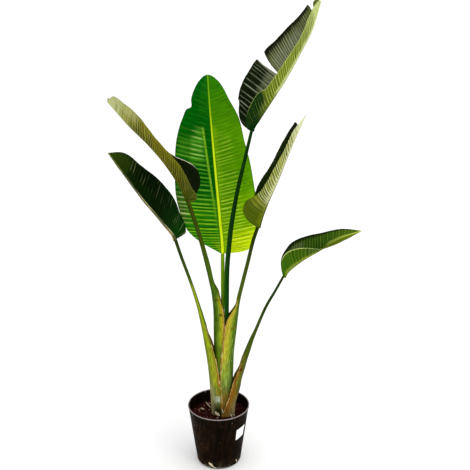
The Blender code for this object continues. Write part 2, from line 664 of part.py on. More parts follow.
def make_label(collection, material):
    """The blank label: a thin sheet bent round the wall on the right of the front."""
    steps = LABEL_COLUMNS
    half_turn = LABEL_WIDTH / 2 / wall_radius(LABEL_BOTTOM)
    angles = np.linspace(LABEL_ANGLE - half_turn, LABEL_ANGLE + half_turn, steps)
    lean = LABEL_LEAN * np.linspace(-0.5, 0.5, steps)
    heights = LABEL_BOTTOM + np.linspace(0, LABEL_HEIGHT, LABEL_LEVELS)[:, None] + lean
    radius = wall_radius(heights) + GAP
    points = np.stack([radius * np.cos(angles), radius * np.sin(angles), heights], axis=-1)
    faces = [(a, a + 1, a + steps + 1, a + steps) for level in range(LABEL_LEVELS - 1)
             for a in range(level * steps, level * steps + steps - 1)]
    label = mesh_object("label", points.reshape(-1, 3), faces, collection, material)
    solid = label.modifiers.new("thickness", "SOLIDIFY")
    solid.thickness = LABEL_THICKNESS
    solid.offset = 1.0
    return label


def main():
    """Build every piece of the potted plant."""
    clear_scene()
    parts = new_collection("potted_bird_of_paradise")
    cutters = new_collection("cutters")
    make_pot(parts, cutters, plain_material("pot_plastic", POT_BLACK, POT_ROUGHNESS))
    make_soil(parts, cutters, plain_material("potting_soil", SOIL_BROWN, SOIL_ROUGHNESS))
    make_label(parts, plain_material("label_paper", LABEL_WHITE, LABEL_ROUGHNESS))
    for name, leaf in LEAVES.items():
        stalk, blade = name + "_stalk", name + "_blade"
        make_stalk(stalk, leaf, parts, plain_material(stalk, STALK_GREEN, STALK_ROUGHNESS))
        make_blade(blade, leaf, parts, plain_material(blade, LEAF_GREEN, LEAF_ROUGHNESS))


main()
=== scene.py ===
"""Looks of the potted giant white bird of paradise, laid out as an add-on and run as a script.

Every piece is a surface worked out on a grid of two parameters, in metres and in the frame's own axes:
+Z is up, the front is -Y and the origin is the middle of the pot's underside.
"""
import math

import bmesh
import bpy
import numpy as np
from bpy.props import FloatProperty, FloatVectorProperty, IntProperty, PointerProperty
from mathutils import Matrix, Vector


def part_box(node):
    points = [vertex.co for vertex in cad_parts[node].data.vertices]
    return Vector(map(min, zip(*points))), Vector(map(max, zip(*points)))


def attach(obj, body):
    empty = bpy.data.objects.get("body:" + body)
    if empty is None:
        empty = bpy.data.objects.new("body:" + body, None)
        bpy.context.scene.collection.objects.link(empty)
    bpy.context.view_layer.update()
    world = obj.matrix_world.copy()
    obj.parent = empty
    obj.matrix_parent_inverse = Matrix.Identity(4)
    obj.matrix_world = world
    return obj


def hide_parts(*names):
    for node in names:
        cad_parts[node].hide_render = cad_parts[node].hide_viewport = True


bl_info = {
    "name": "Potted bird of paradise",
    "version": (1, 0, 0),
    "blender": (4, 5, 0),
    "location": "3D View > Sidebar > Plant",
    "description": "Dresses the potted bird of paradise with fine leaves, stalks, pot, soil and stage",
    "category": "Add Mesh",
}

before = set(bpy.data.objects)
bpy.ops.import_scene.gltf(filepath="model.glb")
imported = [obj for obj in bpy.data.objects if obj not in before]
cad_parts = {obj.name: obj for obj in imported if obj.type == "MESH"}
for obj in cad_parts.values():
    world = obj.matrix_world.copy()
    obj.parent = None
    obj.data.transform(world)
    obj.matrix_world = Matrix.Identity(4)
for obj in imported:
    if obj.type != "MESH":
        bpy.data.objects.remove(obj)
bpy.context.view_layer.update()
BODY = "root"
UP = np.array([0.0, 0.0, 1.0])
FRONT = np.array([0.0, -1.0, 0.0])
FULL_TURN = 2 * math.pi

# The pot, with its radius at the rim and its height read from the frame. The bead is BEAD_OUT outside the
# wall, the corner is the radius between floor and wall, and the slots lie between two heights.
RIM_RADIUS, _, POT_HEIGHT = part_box("pot")[1]
BASE_RADIUS = 0.0752
WALL = 0.0016
FLOOR_THICKNESS = 0.0030
FLOOR_STEPS = 8
WALL_STEPS = 40
CORNER = 0.009
CORNER_STEPS = 9
BEAD_OUT = 0.0015
BEAD_HEIGHT = 0.006
BEAD_ROUND = 0.0016
BEAD_STEPS = 9
BEAD_TRIM = 0.0006
BEAD_DROP = 0.0002
LIP_SHARE = 0.4
SLOT_COUNT = 6
SLOT_FIRST_ANGLE = math.radians(256)
SLOT_WIDTH = 0.016
SLOT_LOW = 0.0045
SLOT_HIGH = 0.0145
SLOT_ROWS = 7
SLOT_CLEARANCE = 0.0003
SAME_POINT = 1e-6
NO_LENGTH = 1e-7

# The soil: a mound that drops from its middle to the wall, on a drum that narrows below its shoulder to the
# pot's floor. The shoulder is as wide as the pot is inside at DRUM_WIDTH_LEVEL.
SOIL_LOW, SOIL_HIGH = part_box("soil")
SOIL_GAP = 0.0006
SOIL_SIDES = 180
SOIL_RINGS = 70
MOUND_DROP = 0.0045
DRUM_SHOULDER = 0.016
DRUM_WIDTH_LEVEL = 0.02
DRUM_FOOT = SOIL_LOW[2] + 0.0005
DRUM_ROUNDING = 0.6

# The soil's clods, crumbs and grains: a seed, waves to a metre and a height
SOIL_BUMPS = ((5, 30, 0.0022), (6, 75, 0.0012), (7, 190, 0.0005))

# Bark flakes, which are chips up to CHIP_SHARE of the draws and fibres above it, with their usual length,
# width and thickness. They stay out of an oval about the stalks, and no point rises above FLAKE_TOP.
FLAKE_SIDES = 6
FLAKE_RINGS = 5
FLAKE_SEED = 11
FLAKE_CLEARANCE = 0.0070
STALK_OVAL_MIDDLE = 0.0155
STALK_OVAL_HALVES = (0.048, 0.034)
CHIP_SHARE = 0.72
CHIP_SIZE = (0.0060, 0.0034, 0.0016)
FIBRE_SIZE = (0.0105, 0.0011, 0.0009)
FLAKE_LENGTHS = (0.0025, 0.020)
FLAKE_SIZE_SPREAD = 0.45
FLAKE_WIDENING = (0.6, 1.5)
FLAKE_THICKENING = (0.6, 1.4)
FLAKE_TAPER = 0.92
FLAKE_ROUGHNESS = (0.75, 1.25)
FLAKE_UNEVENNESS = (0.92, 1.08)
FLAKE_SINK = 0.35
FLAKE_TILT = 0.18
FLAKE_TOP = SOIL_HIGH[2] + 0.004

# The label: its size, the angle of its middle round the pot, how much higher its right end stands, how far
# a corner lifts and over which range of across plus up, and a slight ripple
LABEL_LOW, LABEL_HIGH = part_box("label")
LABEL_COLUMNS = 36
LABEL_ROWS = 40
LABEL_WIDTH = 0.038
LABEL_TALL = 0.041
LABEL_ANGLE = math.radians(-38)
LABEL_SLANT = 0.006
LABEL_LIFT = 0.0016
LABEL_LIFT_RANGE = (0.75, 2.0)
LABEL_RIPPLE = 0.00012
LABEL_RIPPLE_SEED = 3
LABEL_RIPPLE_RATE = 1.2
LABEL_GAP = 0.0003
LABEL_THICKNESS = 0.00035
LABEL_CORNER = 0.10

# Blades: how their curves are read
CURVE_STEPS = 401
ROOT_STEPS = 4001
ROOT_STEP = 0.004
SLOPE_STEP = 0.004
BASE_HALF_WIDTH = 0.0045
TIP_HALF_WIDTH = 0.0015
STALK_GAP = 0.0006
LEAF_LEVEL = 0.006
VEIN_BEND = 1.2
COLUMN_CROWDING = 1.25
TROUGH_WIDTH = 0.0035
LEAST_BEND = 1e-3
LEAST_GAP = 1e-6

# Blades: their relief. A sway is a height in turns and a rate in radians a metre; a size of the midrib is
# its value at the base, the share of it lost by the tip and what the swelling at the base adds
END_RISE = 3.0
WAVE_LAG = 0.25
SWELL_REACH = (0.002, 0.016)
MARGIN_SHARES = (0.75, 1.0)
MARGIN_LOSS = 0.6
WIDE_SWAY = (0.16, 61.0)
NARROW_SWAY = (0.10, 143.0)
RUFFLE_HEIGHT = 0.0003
RUFFLE_LENGTH = 0.041
RUFFLE_SHARES = (0.7, 1.0)
RIB_WIDTH = (0.0036, 0.72, 0.0012)
RIB_DEPTH = (0.0046, 0.85, 0.0034)
RIB_SWELLING = 0.05
EDGE_SHARES = (0.93, 1.0)
EDGE_THINNING = 0.55

# Stalks: their walls, the groove of a solid petiole and the frill of a sheath's margins
WALL_AT_BACK = 0.0032
WALL_AT_EDGE = 0.0007
INNER_WRAP = 0.97
GROOVE_DEPTH = 0.10
GROOVE_WIDTH = 0.90
FRILL_HEIGHT = 0.0004
FRILL_POWER = 6
FRILL_SINES = ((1.0, 110.0, 0.0), (0.6, 270.0, 1.0))

# Coats: how soft the ends of their windows are along and across, and how widely noise moves them there
BLADE_SOFTNESS = (0.035, 0.09)
BLADE_SWAY = (0.07, 0.16)
STALK_SOFTNESS = (0.030, 0.16)
STALK_SWAY = (0.06, 0.30)

# Each leaf has a stalk, listed upwards from the soil in rows of height, x of its back, x of its open
# edge, y of its middle, half depth, wrap in degrees (90 is a U, 125 nearly round) and fill
# (0 is a hollow sheath, 1 is a solid petiole). Its blade has a midrib of given points that goes
# on from the stalk, a face direction at the base and at the tip, and two halves, left and right as
# seen on the face with the tip up. Each half has an outline of (along, across) in metres, and its
# fold and its curl in degrees at even steps from the base to the tip. A fold turns the half towards
# the face, and the curl is the turn it gains from the midrib to the edge.
LEAVES = {
    "leaf_centre": {
        "stalk": [
            (0.1104, 0.0000, 0.0170, 0.004, 0.0100, 125, 1.0),
            (0.300, 0.0010, 0.0180, 0.004, 0.0090, 125, 1.0),
            (0.450, 0.0060, 0.0190, 0.004, 0.0070, 125, 1.0),
            (0.560, 0.0105, 0.0205, 0.006, 0.0055, 125, 1.0),
            (0.600, 0.0100, 0.0210, 0.009, 0.0055, 125, 1.0),
            (0.650, 0.0095, 0.0215, 0.020, 0.0055, 125, 1.0),
            (0.700, 0.0095, 0.0220, 0.030, 0.0052, 125, 1.0),
            (0.737, 0.0098, 0.0215, 0.036, 0.0050, 125, 1.0),
        ],
        "midrib": [(0.007, 0.055, 0.852), (-0.004, 0.075, 0.973), (-0.015, 0.090, 1.101),
                   (-0.023, 0.100, 1.202), (-0.029, 0.105, 1.304)],
        "face": ((0.05, -1.0, 0.15), (0.0, -1.0, 0.10)),
        "left": {
            "outline": [(0.014, 0.027), (0.052, 0.077), (0.091, 0.109), (0.170, 0.130), (0.270, 0.132),
                        (0.364, 0.118), (0.446, 0.088), (0.471, 0.073), (0.476, 0.060), (0.500, 0.057),
                        (0.528, 0.046), (0.558, 0.026), (0.570, 0.011)],
            "fold": (6, 2, 4), "curl": (10, -14, -10)},
        "right": {
            "outline": [(0.002, 0.030), (0.018, 0.092), (0.075, 0.118), (0.160, 0.123), (0.260, 0.116),
                        (0.353, 0.102), (0.434, 0.088), (0.489, 0.064), (0.552, 0.031), (0.569, 0.012)],
            "fold": (6, 2, 4), "curl": (10, -14, -10)},
        "wave": (0.005, 3.0, 0.6),
    },
    "leaf_upper_left": {
        "stalk": [
            (0.1104, -0.0190, 0.0070, 0.000, 0.0215, 90, 0.0),
            (0.246, -0.0170, 0.0080, 0.000, 0.0215, 90, 0.0),
            (0.372, -0.0135, 0.0130, 0.000, 0.0215, 90, 0.0),
            (0.454, -0.0148, 0.0190, -0.0008, 0.0205, 90, 0.0),
            (0.490, -0.0148, 0.0212, -0.0030, 0.0190, 90, 0.0),
            (0.526, -0.0148, 0.0215, -0.0026, 0.0188, 90, 0.0),
            (0.560, -0.0158, 0.0178, -0.0004, 0.0170, 90, 0.0),
            (0.595, -0.0182, 0.0085, -0.004, 0.0130, 90, 0.15),
            (0.622, -0.0208, 0.0030, -0.010, 0.0105, 95, 0.40),
            (0.655, -0.0260, -0.0105, -0.020, 0.0085, 110, 0.80),
            (0.717, -0.0370, -0.0215, -0.035, 0.0070, 125, 1.0),
            (0.810, -0.0565, -0.0435, -0.050, 0.0065, 125, 1.0),
            (0.878, -0.0750, -0.0622, -0.055, 0.0062, 125, 1.0),
            (0.945, -0.0950, -0.0830, -0.060, 0.0060, 125, 1.0),
        ],
        "midrib": [(-0.1165, -0.070, 1.006), (-0.149, -0.088, 1.064), (-0.194, -0.114, 1.128),
                   (-0.247, -0.142, 1.191), (-0.299, -0.170, 1.262)],
        "face": ((0.75, -0.25, 0.60), (0.80, 0.10, 0.55)),
        "left": {
            "outline": [(0.004, 0.044), (0.026, 0.086), (0.080, 0.108), (0.180, 0.100), (0.290, 0.084),
                        (0.370, 0.062), (0.410, 0.040)],
            "fold": (47, 33, 34, 38, 46), "curl": (0, 0, 0)},
        "right": {
            "outline": [(0.004, 0.032), (0.022, 0.066), (0.076, 0.096), (0.175, 0.099), (0.290, 0.078),
                        (0.365, 0.044), (0.400, 0.018)],
            "fold": (46, 36, 4, -5, -4, 0, 5, 9, 12), "curl": (0, 0, 0)},
        "wave": (0.003, 2.0, 0.2),
    },
    "leaf_lower_left": {
        "stalk": [
            (0.1104, -0.0240, 0.0130, 0.000, 0.0270, 90, 0.0),
            (0.172, -0.0245, 0.0140, 0.000, 0.0270, 90, 0.0),
            (0.246, -0.0280, 0.0135, 0.000, 0.0270, 90, 0.0),
            (0.307, -0.0315, 0.0048, 0.000, 0.0270, 90, 0.0),
            (0.372, -0.0378, -0.0045, -0.001, 0.0260, 90, 0.0),
            (0.432, -0.0458, -0.0190, -0.004, 0.0200, 90, 0.0),
            (0.472, -0.0510, -0.0320, -0.007, 0.0140, 90, 0.10),
            (0.519, -0.0585, -0.0425, -0.012, 0.0100, 100, 0.45),
            (0.565, -0.0665, -0.0545, -0.016, 0.0070, 115, 0.85),
            (0.600, -0.0742, -0.0635, -0.021, 0.0060, 125, 1.0),
            (0.670, -0.0925, -0.0830, -0.030, 0.0055, 125, 1.0),
            (0.758, -0.1195, -0.1100, -0.040, 0.0052, 125, 1.0),
            (0.812, -0.1350, -0.1252, -0.045, 0.0050, 125, 1.0),
        ],
        "midrib": [(-0.166, -0.052, 0.868), (-0.226, -0.062, 0.950), (-0.278, -0.066, 1.027),
                   (-0.322, -0.066, 1.094)],
        "face": ((0.72, -0.48, 0.50), (0.62, -0.52, 0.58)),
        "left": {
            "outline": [(0.010, 0.026), (0.034, 0.058), (0.084, 0.084), (0.160, 0.088), (0.250, 0.068),
                        (0.320, 0.036)],
            "fold": (50, 46, 46, 48, 50), "curl": (0, 0, 0)},
        "right": {
            "outline": [(0.001, 0.028), (0.004, 0.044), (0.012, 0.050), (0.058, 0.067), (0.100, 0.082),
                        (0.160, 0.083), (0.250, 0.064), (0.320, 0.036)],
            "fold": (26, 24, 22), "curl": (6, 4, 0)},
        "wave": (0.003, 2.5, 0.0),
    },
    "leaf_top_right": {
        "stalk": [
            (0.1104, 0.0210, 0.0380, -0.004, 0.0100, 125, 1.0),
            (0.300, 0.0210, 0.0375, -0.004, 0.0090, 125, 1.0),
            (0.450, 0.0210, 0.0360, -0.004, 0.0075, 125, 1.0),
            (0.526, 0.0210, 0.0360, -0.006, 0.0070, 125, 1.0),
            (0.600, 0.0208, 0.0368, -0.010, 0.0070, 125, 1.0),
            (0.683, 0.0222, 0.0378, -0.015, 0.0068, 125, 1.0),
            (0.824, 0.0332, 0.0482, -0.030, 0.0062, 125, 1.0),
            (0.957, 0.0545, 0.0672, -0.040, 0.0055, 125, 1.0),
            (1.067, 0.0797, 0.0902, -0.045, 0.0050, 125, 1.0),
            (1.157, 0.1005, 0.1097, -0.050, 0.0048, 125, 1.0),
        ],
        "midrib": [(0.127, -0.055, 1.194), (0.161, -0.060, 1.247), (0.195, -0.065, 1.300),
                   (0.239, -0.070, 1.380), (0.2755, -0.075, 1.455), (0.2955, -0.080, 1.5285)],
        "face": ((-0.85, -0.25, 0.46), (-0.88, -0.22, 0.42)),
        "left": {
            "outline": [(0.002, 0.035), (0.018, 0.080), (0.070, 0.118), (0.140, 0.130), (0.170, 0.130),
                        (0.177, 0.128), (0.176, 0.118), (0.177, 0.070), (0.181, 0.022), (0.190, 0.070),
                        (0.207, 0.112), (0.212, 0.119), (0.219, 0.118), (0.262, 0.100),
                        (0.330, 0.077), (0.370, 0.059), (0.3965, 0.0455), (0.3995, 0.0440), (0.3995, 0.0410),
                        (0.386, 0.012), (0.389, 0.010), (0.400, 0.021), (0.411, 0.026), (0.421, 0.019)],
            "fold": (34, 34, 34), "curl": (0, 0, 0)},
        "right": {
            "outline": [(0.006, 0.028), (0.026, 0.062), (0.070, 0.090), (0.128, 0.100), (0.138, 0.088),
                        (0.180, 0.080), (0.294, 0.074), (0.386, 0.068), (0.412, 0.048), (0.423, 0.022)],
            "fold": (46, 45, 42, 37, 34), "curl": (16, 6, 0, 0, 0)},
        "wave": (0.001, 2.5, 1.0),
    },
    "leaf_mid_right": {
        "stalk": [
            (0.1104, 0.0480, 0.0050, 0.000, 0.0240, 90, 0.0),
            (0.245, 0.0487, 0.0055, 0.000, 0.0240, 90, 0.0),
            (0.292, 0.0490, 0.0048, 0.000, 0.0240, 90, 0.0),
            (0.351, 0.0510, 0.0066, 0.000, 0.0240, 90, 0.0),
            (0.387, 0.0520, 0.0088, 0.000, 0.0240, 90, 0.0),
            (0.443, 0.0570, 0.0158, 0.000, 0.0228, 90, 0.0),
            (0.490, 0.0622, 0.0210, -0.003, 0.0212, 90, 0.0),
            (0.526, 0.0655, 0.0285, -0.008, 0.0180, 90, 0.0),
            (0.553, 0.0680, 0.0430, -0.014, 0.0130, 90, 0.10),
            (0.580, 0.0705, 0.0570, -0.022, 0.0090, 105, 0.60),
            (0.610, 0.0750, 0.0625, -0.027, 0.0070, 125, 1.0),
            (0.662, 0.0860, 0.0740, -0.035, 0.0065, 125, 1.0),
            (0.740, 0.1028, 0.0915, -0.045, 0.0060, 125, 1.0),
            (0.814, 0.1190, 0.1082, -0.050, 0.0056, 125, 1.0),
            (0.858, 0.1322, 0.1220, -0.055, 0.0052, 125, 1.0),
        ],
        "midrib": [(0.153, -0.063, 0.935), (0.186, -0.070, 1.016), (0.221, -0.078, 1.111),
                   (0.261, -0.084, 1.209)],
        "face": ((-0.90, -0.05, 0.40), (-0.90, 0.05, 0.38)),
        "left": {
            "outline": [(0.004, 0.032), (0.030, 0.066), (0.090, 0.085), (0.170, 0.080), (0.260, 0.062),
                        (0.335, 0.048), (0.339, 0.046), (0.340, 0.040), (0.338, 0.012)],
            "fold": (26, 22, 22), "curl": (6, 0, 0)},
        "right": {
            "outline": [(0.008, 0.024), (0.026, 0.056), (0.058, 0.086), (0.094, 0.094), (0.112, 0.080),
                        (0.170, 0.080), (0.250, 0.064), (0.330, 0.034)],
            "fold": (52, 53, 46, 32, 25, 24, 24, 28, 34), "curl": (6, 4, 0)},
        "wave": (0.0015, 2.5, 2.0),
    },
    "leaf_low_right": {
        "stalk": [
            (0.1104, 0.0540, 0.0110, 0.000, 0.0288, 90, 0.0),
            (0.172, 0.0555, 0.0122, 0.000, 0.0288, 90, 0.0),
            (0.209, 0.0580, 0.0230, 0.000, 0.0286, 90, 0.0),
            (0.233, 0.0645, 0.0322, 0.000, 0.0276, 90, 0.0),
            (0.270, 0.0740, 0.0425, -0.002, 0.0255, 90, 0.0),
            (0.303, 0.0790, 0.0505, -0.005, 0.0220, 90, 0.0),
            (0.344, 0.0890, 0.0677, -0.010, 0.0160, 90, 0.0),
            (0.384, 0.0980, 0.0786, -0.016, 0.0120, 95, 0.20),
            (0.420, 0.1072, 0.0905, -0.022, 0.0090, 105, 0.60),
            (0.460, 0.1170, 0.1040, -0.030, 0.0070, 120, 1.0),
            (0.502, 0.1294, 0.1194, -0.040, 0.0056, 125, 1.0),
            (0.587, 0.1598, 0.1512, -0.050, 0.0048, 125, 1.0),
            (0.649, 0.1899, 0.1823, -0.057, 0.0044, 125, 1.0),
            (0.696, 0.2126, 0.2054, -0.060, 0.0042, 125, 1.0),
        ],
        "midrib": [(0.256, -0.070, 0.748), (0.325, -0.080, 0.796), (0.378, -0.085, 0.832),
                   (0.441, -0.090, 0.857)],
        "face": ((-0.60, -0.10, 0.80), (-0.50, -0.45, 0.78)),
        "left": {
            "outline": [(0.010, 0.022), (0.030, 0.050), (0.070, 0.067), (0.130, 0.061), (0.200, 0.038),
                        (0.250, 0.020)],
            "fold": (44, 36, 20), "curl": (0, 0, 0)},
        "right": {
            "outline": [(0.014, 0.018), (0.036, 0.046), (0.070, 0.064), (0.130, 0.058), (0.200, 0.027),
                        (0.250, 0.014)],
            "fold": (80, 78, 66, 32, 8, 4), "curl": (6, 0, 0)},
        "wave": (0.0005, 2.0, 0.0),
    },
}

# For each half of a blade, how far a vein's outer end lies ahead of its root, as a share of its reach, at
# even steps from the base to the tip, and then the spacing of the pleats in the same way
VEINS = {
    "leaf_centre": {
        "left": ((0.14, 0.22, 0.42), (0.0150, 0.0140)),
        "right": ((0.14, 0.20, 0.30), (0.0122, 0.0110))},
    "leaf_upper_left": {
        "left": ((0.60, 0.90, 0.90), (0.0095, 0.0085)),
        "right": ((0.30, 0.50, 0.60), (0.0120, 0.0100))},
    "leaf_lower_left": {
        "left": ((0.50, 0.60, 0.60), (0.0120, 0.0100)),
        "right": ((0.40, 0.60, 0.60), (0.0105, 0.0120))},
    "leaf_top_right": {
        "left": ((0.05, -0.08, -0.10, -0.08, 0.22, 0.38, 0.45, 0.45, 0.45),
                 (0.0190, 0.0170, 0.0085, 0.0080, 0.0080)),
        "right": ((0.50, 0.55, 0.60), (0.0100, 0.0085))},
    "leaf_mid_right": {
        "left": ((0.30, 0.50, 0.50), (0.0120, 0.0100)),
        "right": ((0.20, 0.60, 0.70, 0.70), (0.0090, 0.0110))},
    "leaf_low_right": {
        "left": ((0.40, 0.50, 0.50), (0.0085, 0.0080)),
        "right": ((0.40, 0.50, 0.50), (0.0100, 0.0090))},
}

# Each blade's tones at the base, the middle and the tip of its surfaces. A face or a back that is alike on
# both halves is given once. The midrib has a tone at its base and at its tip on the face and on the back,
# a share of the usual width and a shade beside it, and glow is the share of light that the blade lets through
PLAIN_LEAF = {"glow": 0.02, "rib share": 0.65, "rib shade": "#101c04"}
TONES = {
    "leaf_centre": {
        # Centre leaf: the right half is lighter and yellower as painted light let through, the left darker as
        # painted shade.
        "face left": ("#1e7c0a", "#006204", "#00660a"), "face right": ("#8cc000", "#5a9c00", "#2f8004"),
        "back left": ("#6f8f1c", "#5f8a28", "#5f8a28"), "back right": ("#7f9f1c", "#6f9a28", "#5f8a28"),
        "rib": ("#e8ff20", "#74b410"), "rib back": ("#a8c840", "#7ca020"),
        "glow": 0.16, "rib share": 1.0, "rib shade": "#3c6c00"},
    "leaf_upper_left": {
        # The upper left leaf's right face is dark green painted near black as the deep shade inside its fold.
        "face left": ("#10240a", "#141c08", "#26300e"), "face right": ("#0c1604", "#0a0804", "#20280c"),
        "back": ("#4c5808", "#706c0c", "#a8ac60"),
        "rib": ("#6c7430", "#8a8c50"), "rib back": ("#4c5814", "#8c8c5c"), **PLAIN_LEAF},
    "leaf_lower_left": {
        "face left": ("#0c3408", "#0a2004", "#2c4410"), "face right": ("#0c3008", "#0a1c04", "#2c4410"),
        "back": ("#4a4a18", "#3c4410", "#4a5020"),
        "rib": ("#d0c890", "#98a440"), "rib back": ("#c4b890", "#7c8448"), **PLAIN_LEAF, "rib share": 1.0},
    "leaf_top_right": {
        # Top right leaf: the face's grey-green towards the tip is painted sheen, the back's dark base painted
        # shadow.
        "face": ("#10200a", "#262e12", "#465030"), "back": ("#0c3404", "#7a8a28", "#acb874"),
        "rib": ("#7c8438", "#a8b068"), "rib back": ("#143c08", "#c8d090"), **PLAIN_LEAF},
    "leaf_mid_right": {
        "face": ("#101c04", "#182404", "#0a1004"), "back": ("#4c5a0a", "#989c48", "#c8cc9c"),
        "rib": ("#4c5c14", "#6c7430"), "rib back": ("#222e06", "#a4a878"), **PLAIN_LEAF},
    "leaf_low_right": {
        "face left": ("#0c1804", "#2c500a", "#48640f"), "face right": ("#3c4c0c", "#5c6c10", "#66780c"),
        "back": ("#346008", "#405c0a", "#5c700f"),
        "rib": ("#6c7c20", "#c8d860"), "rib back": ("#5c6c1c", "#a8b060"), **PLAIN_LEAF},
}
TONE_SHARES = ((0.0, 0.42), (0.55, 1.0))
RIB_TONE_SHARES = (0.55, 0.95)
RIB_NARROWING = 0.55

# Patterns that follow the pleats: the power and the shift in turns of a wave of their phase, and what it is
# broken up by. Crest, line and fleck are pale veins with a painted highlight on the pleat tops; trough and
# dark fleck are painted shade in their bottoms.
PLEAT_PATTERNS = {
    "crest": (5.0, 0.0, "uneven"),
    "trough": (2.0, 0.38, "uneven"),
    "line": (14.0, 0.0, "uneven"),
    "fleck": (7.0, 0.0, "here and there"),
    "dark fleck": (4.0, 0.45, "here and there"),
}
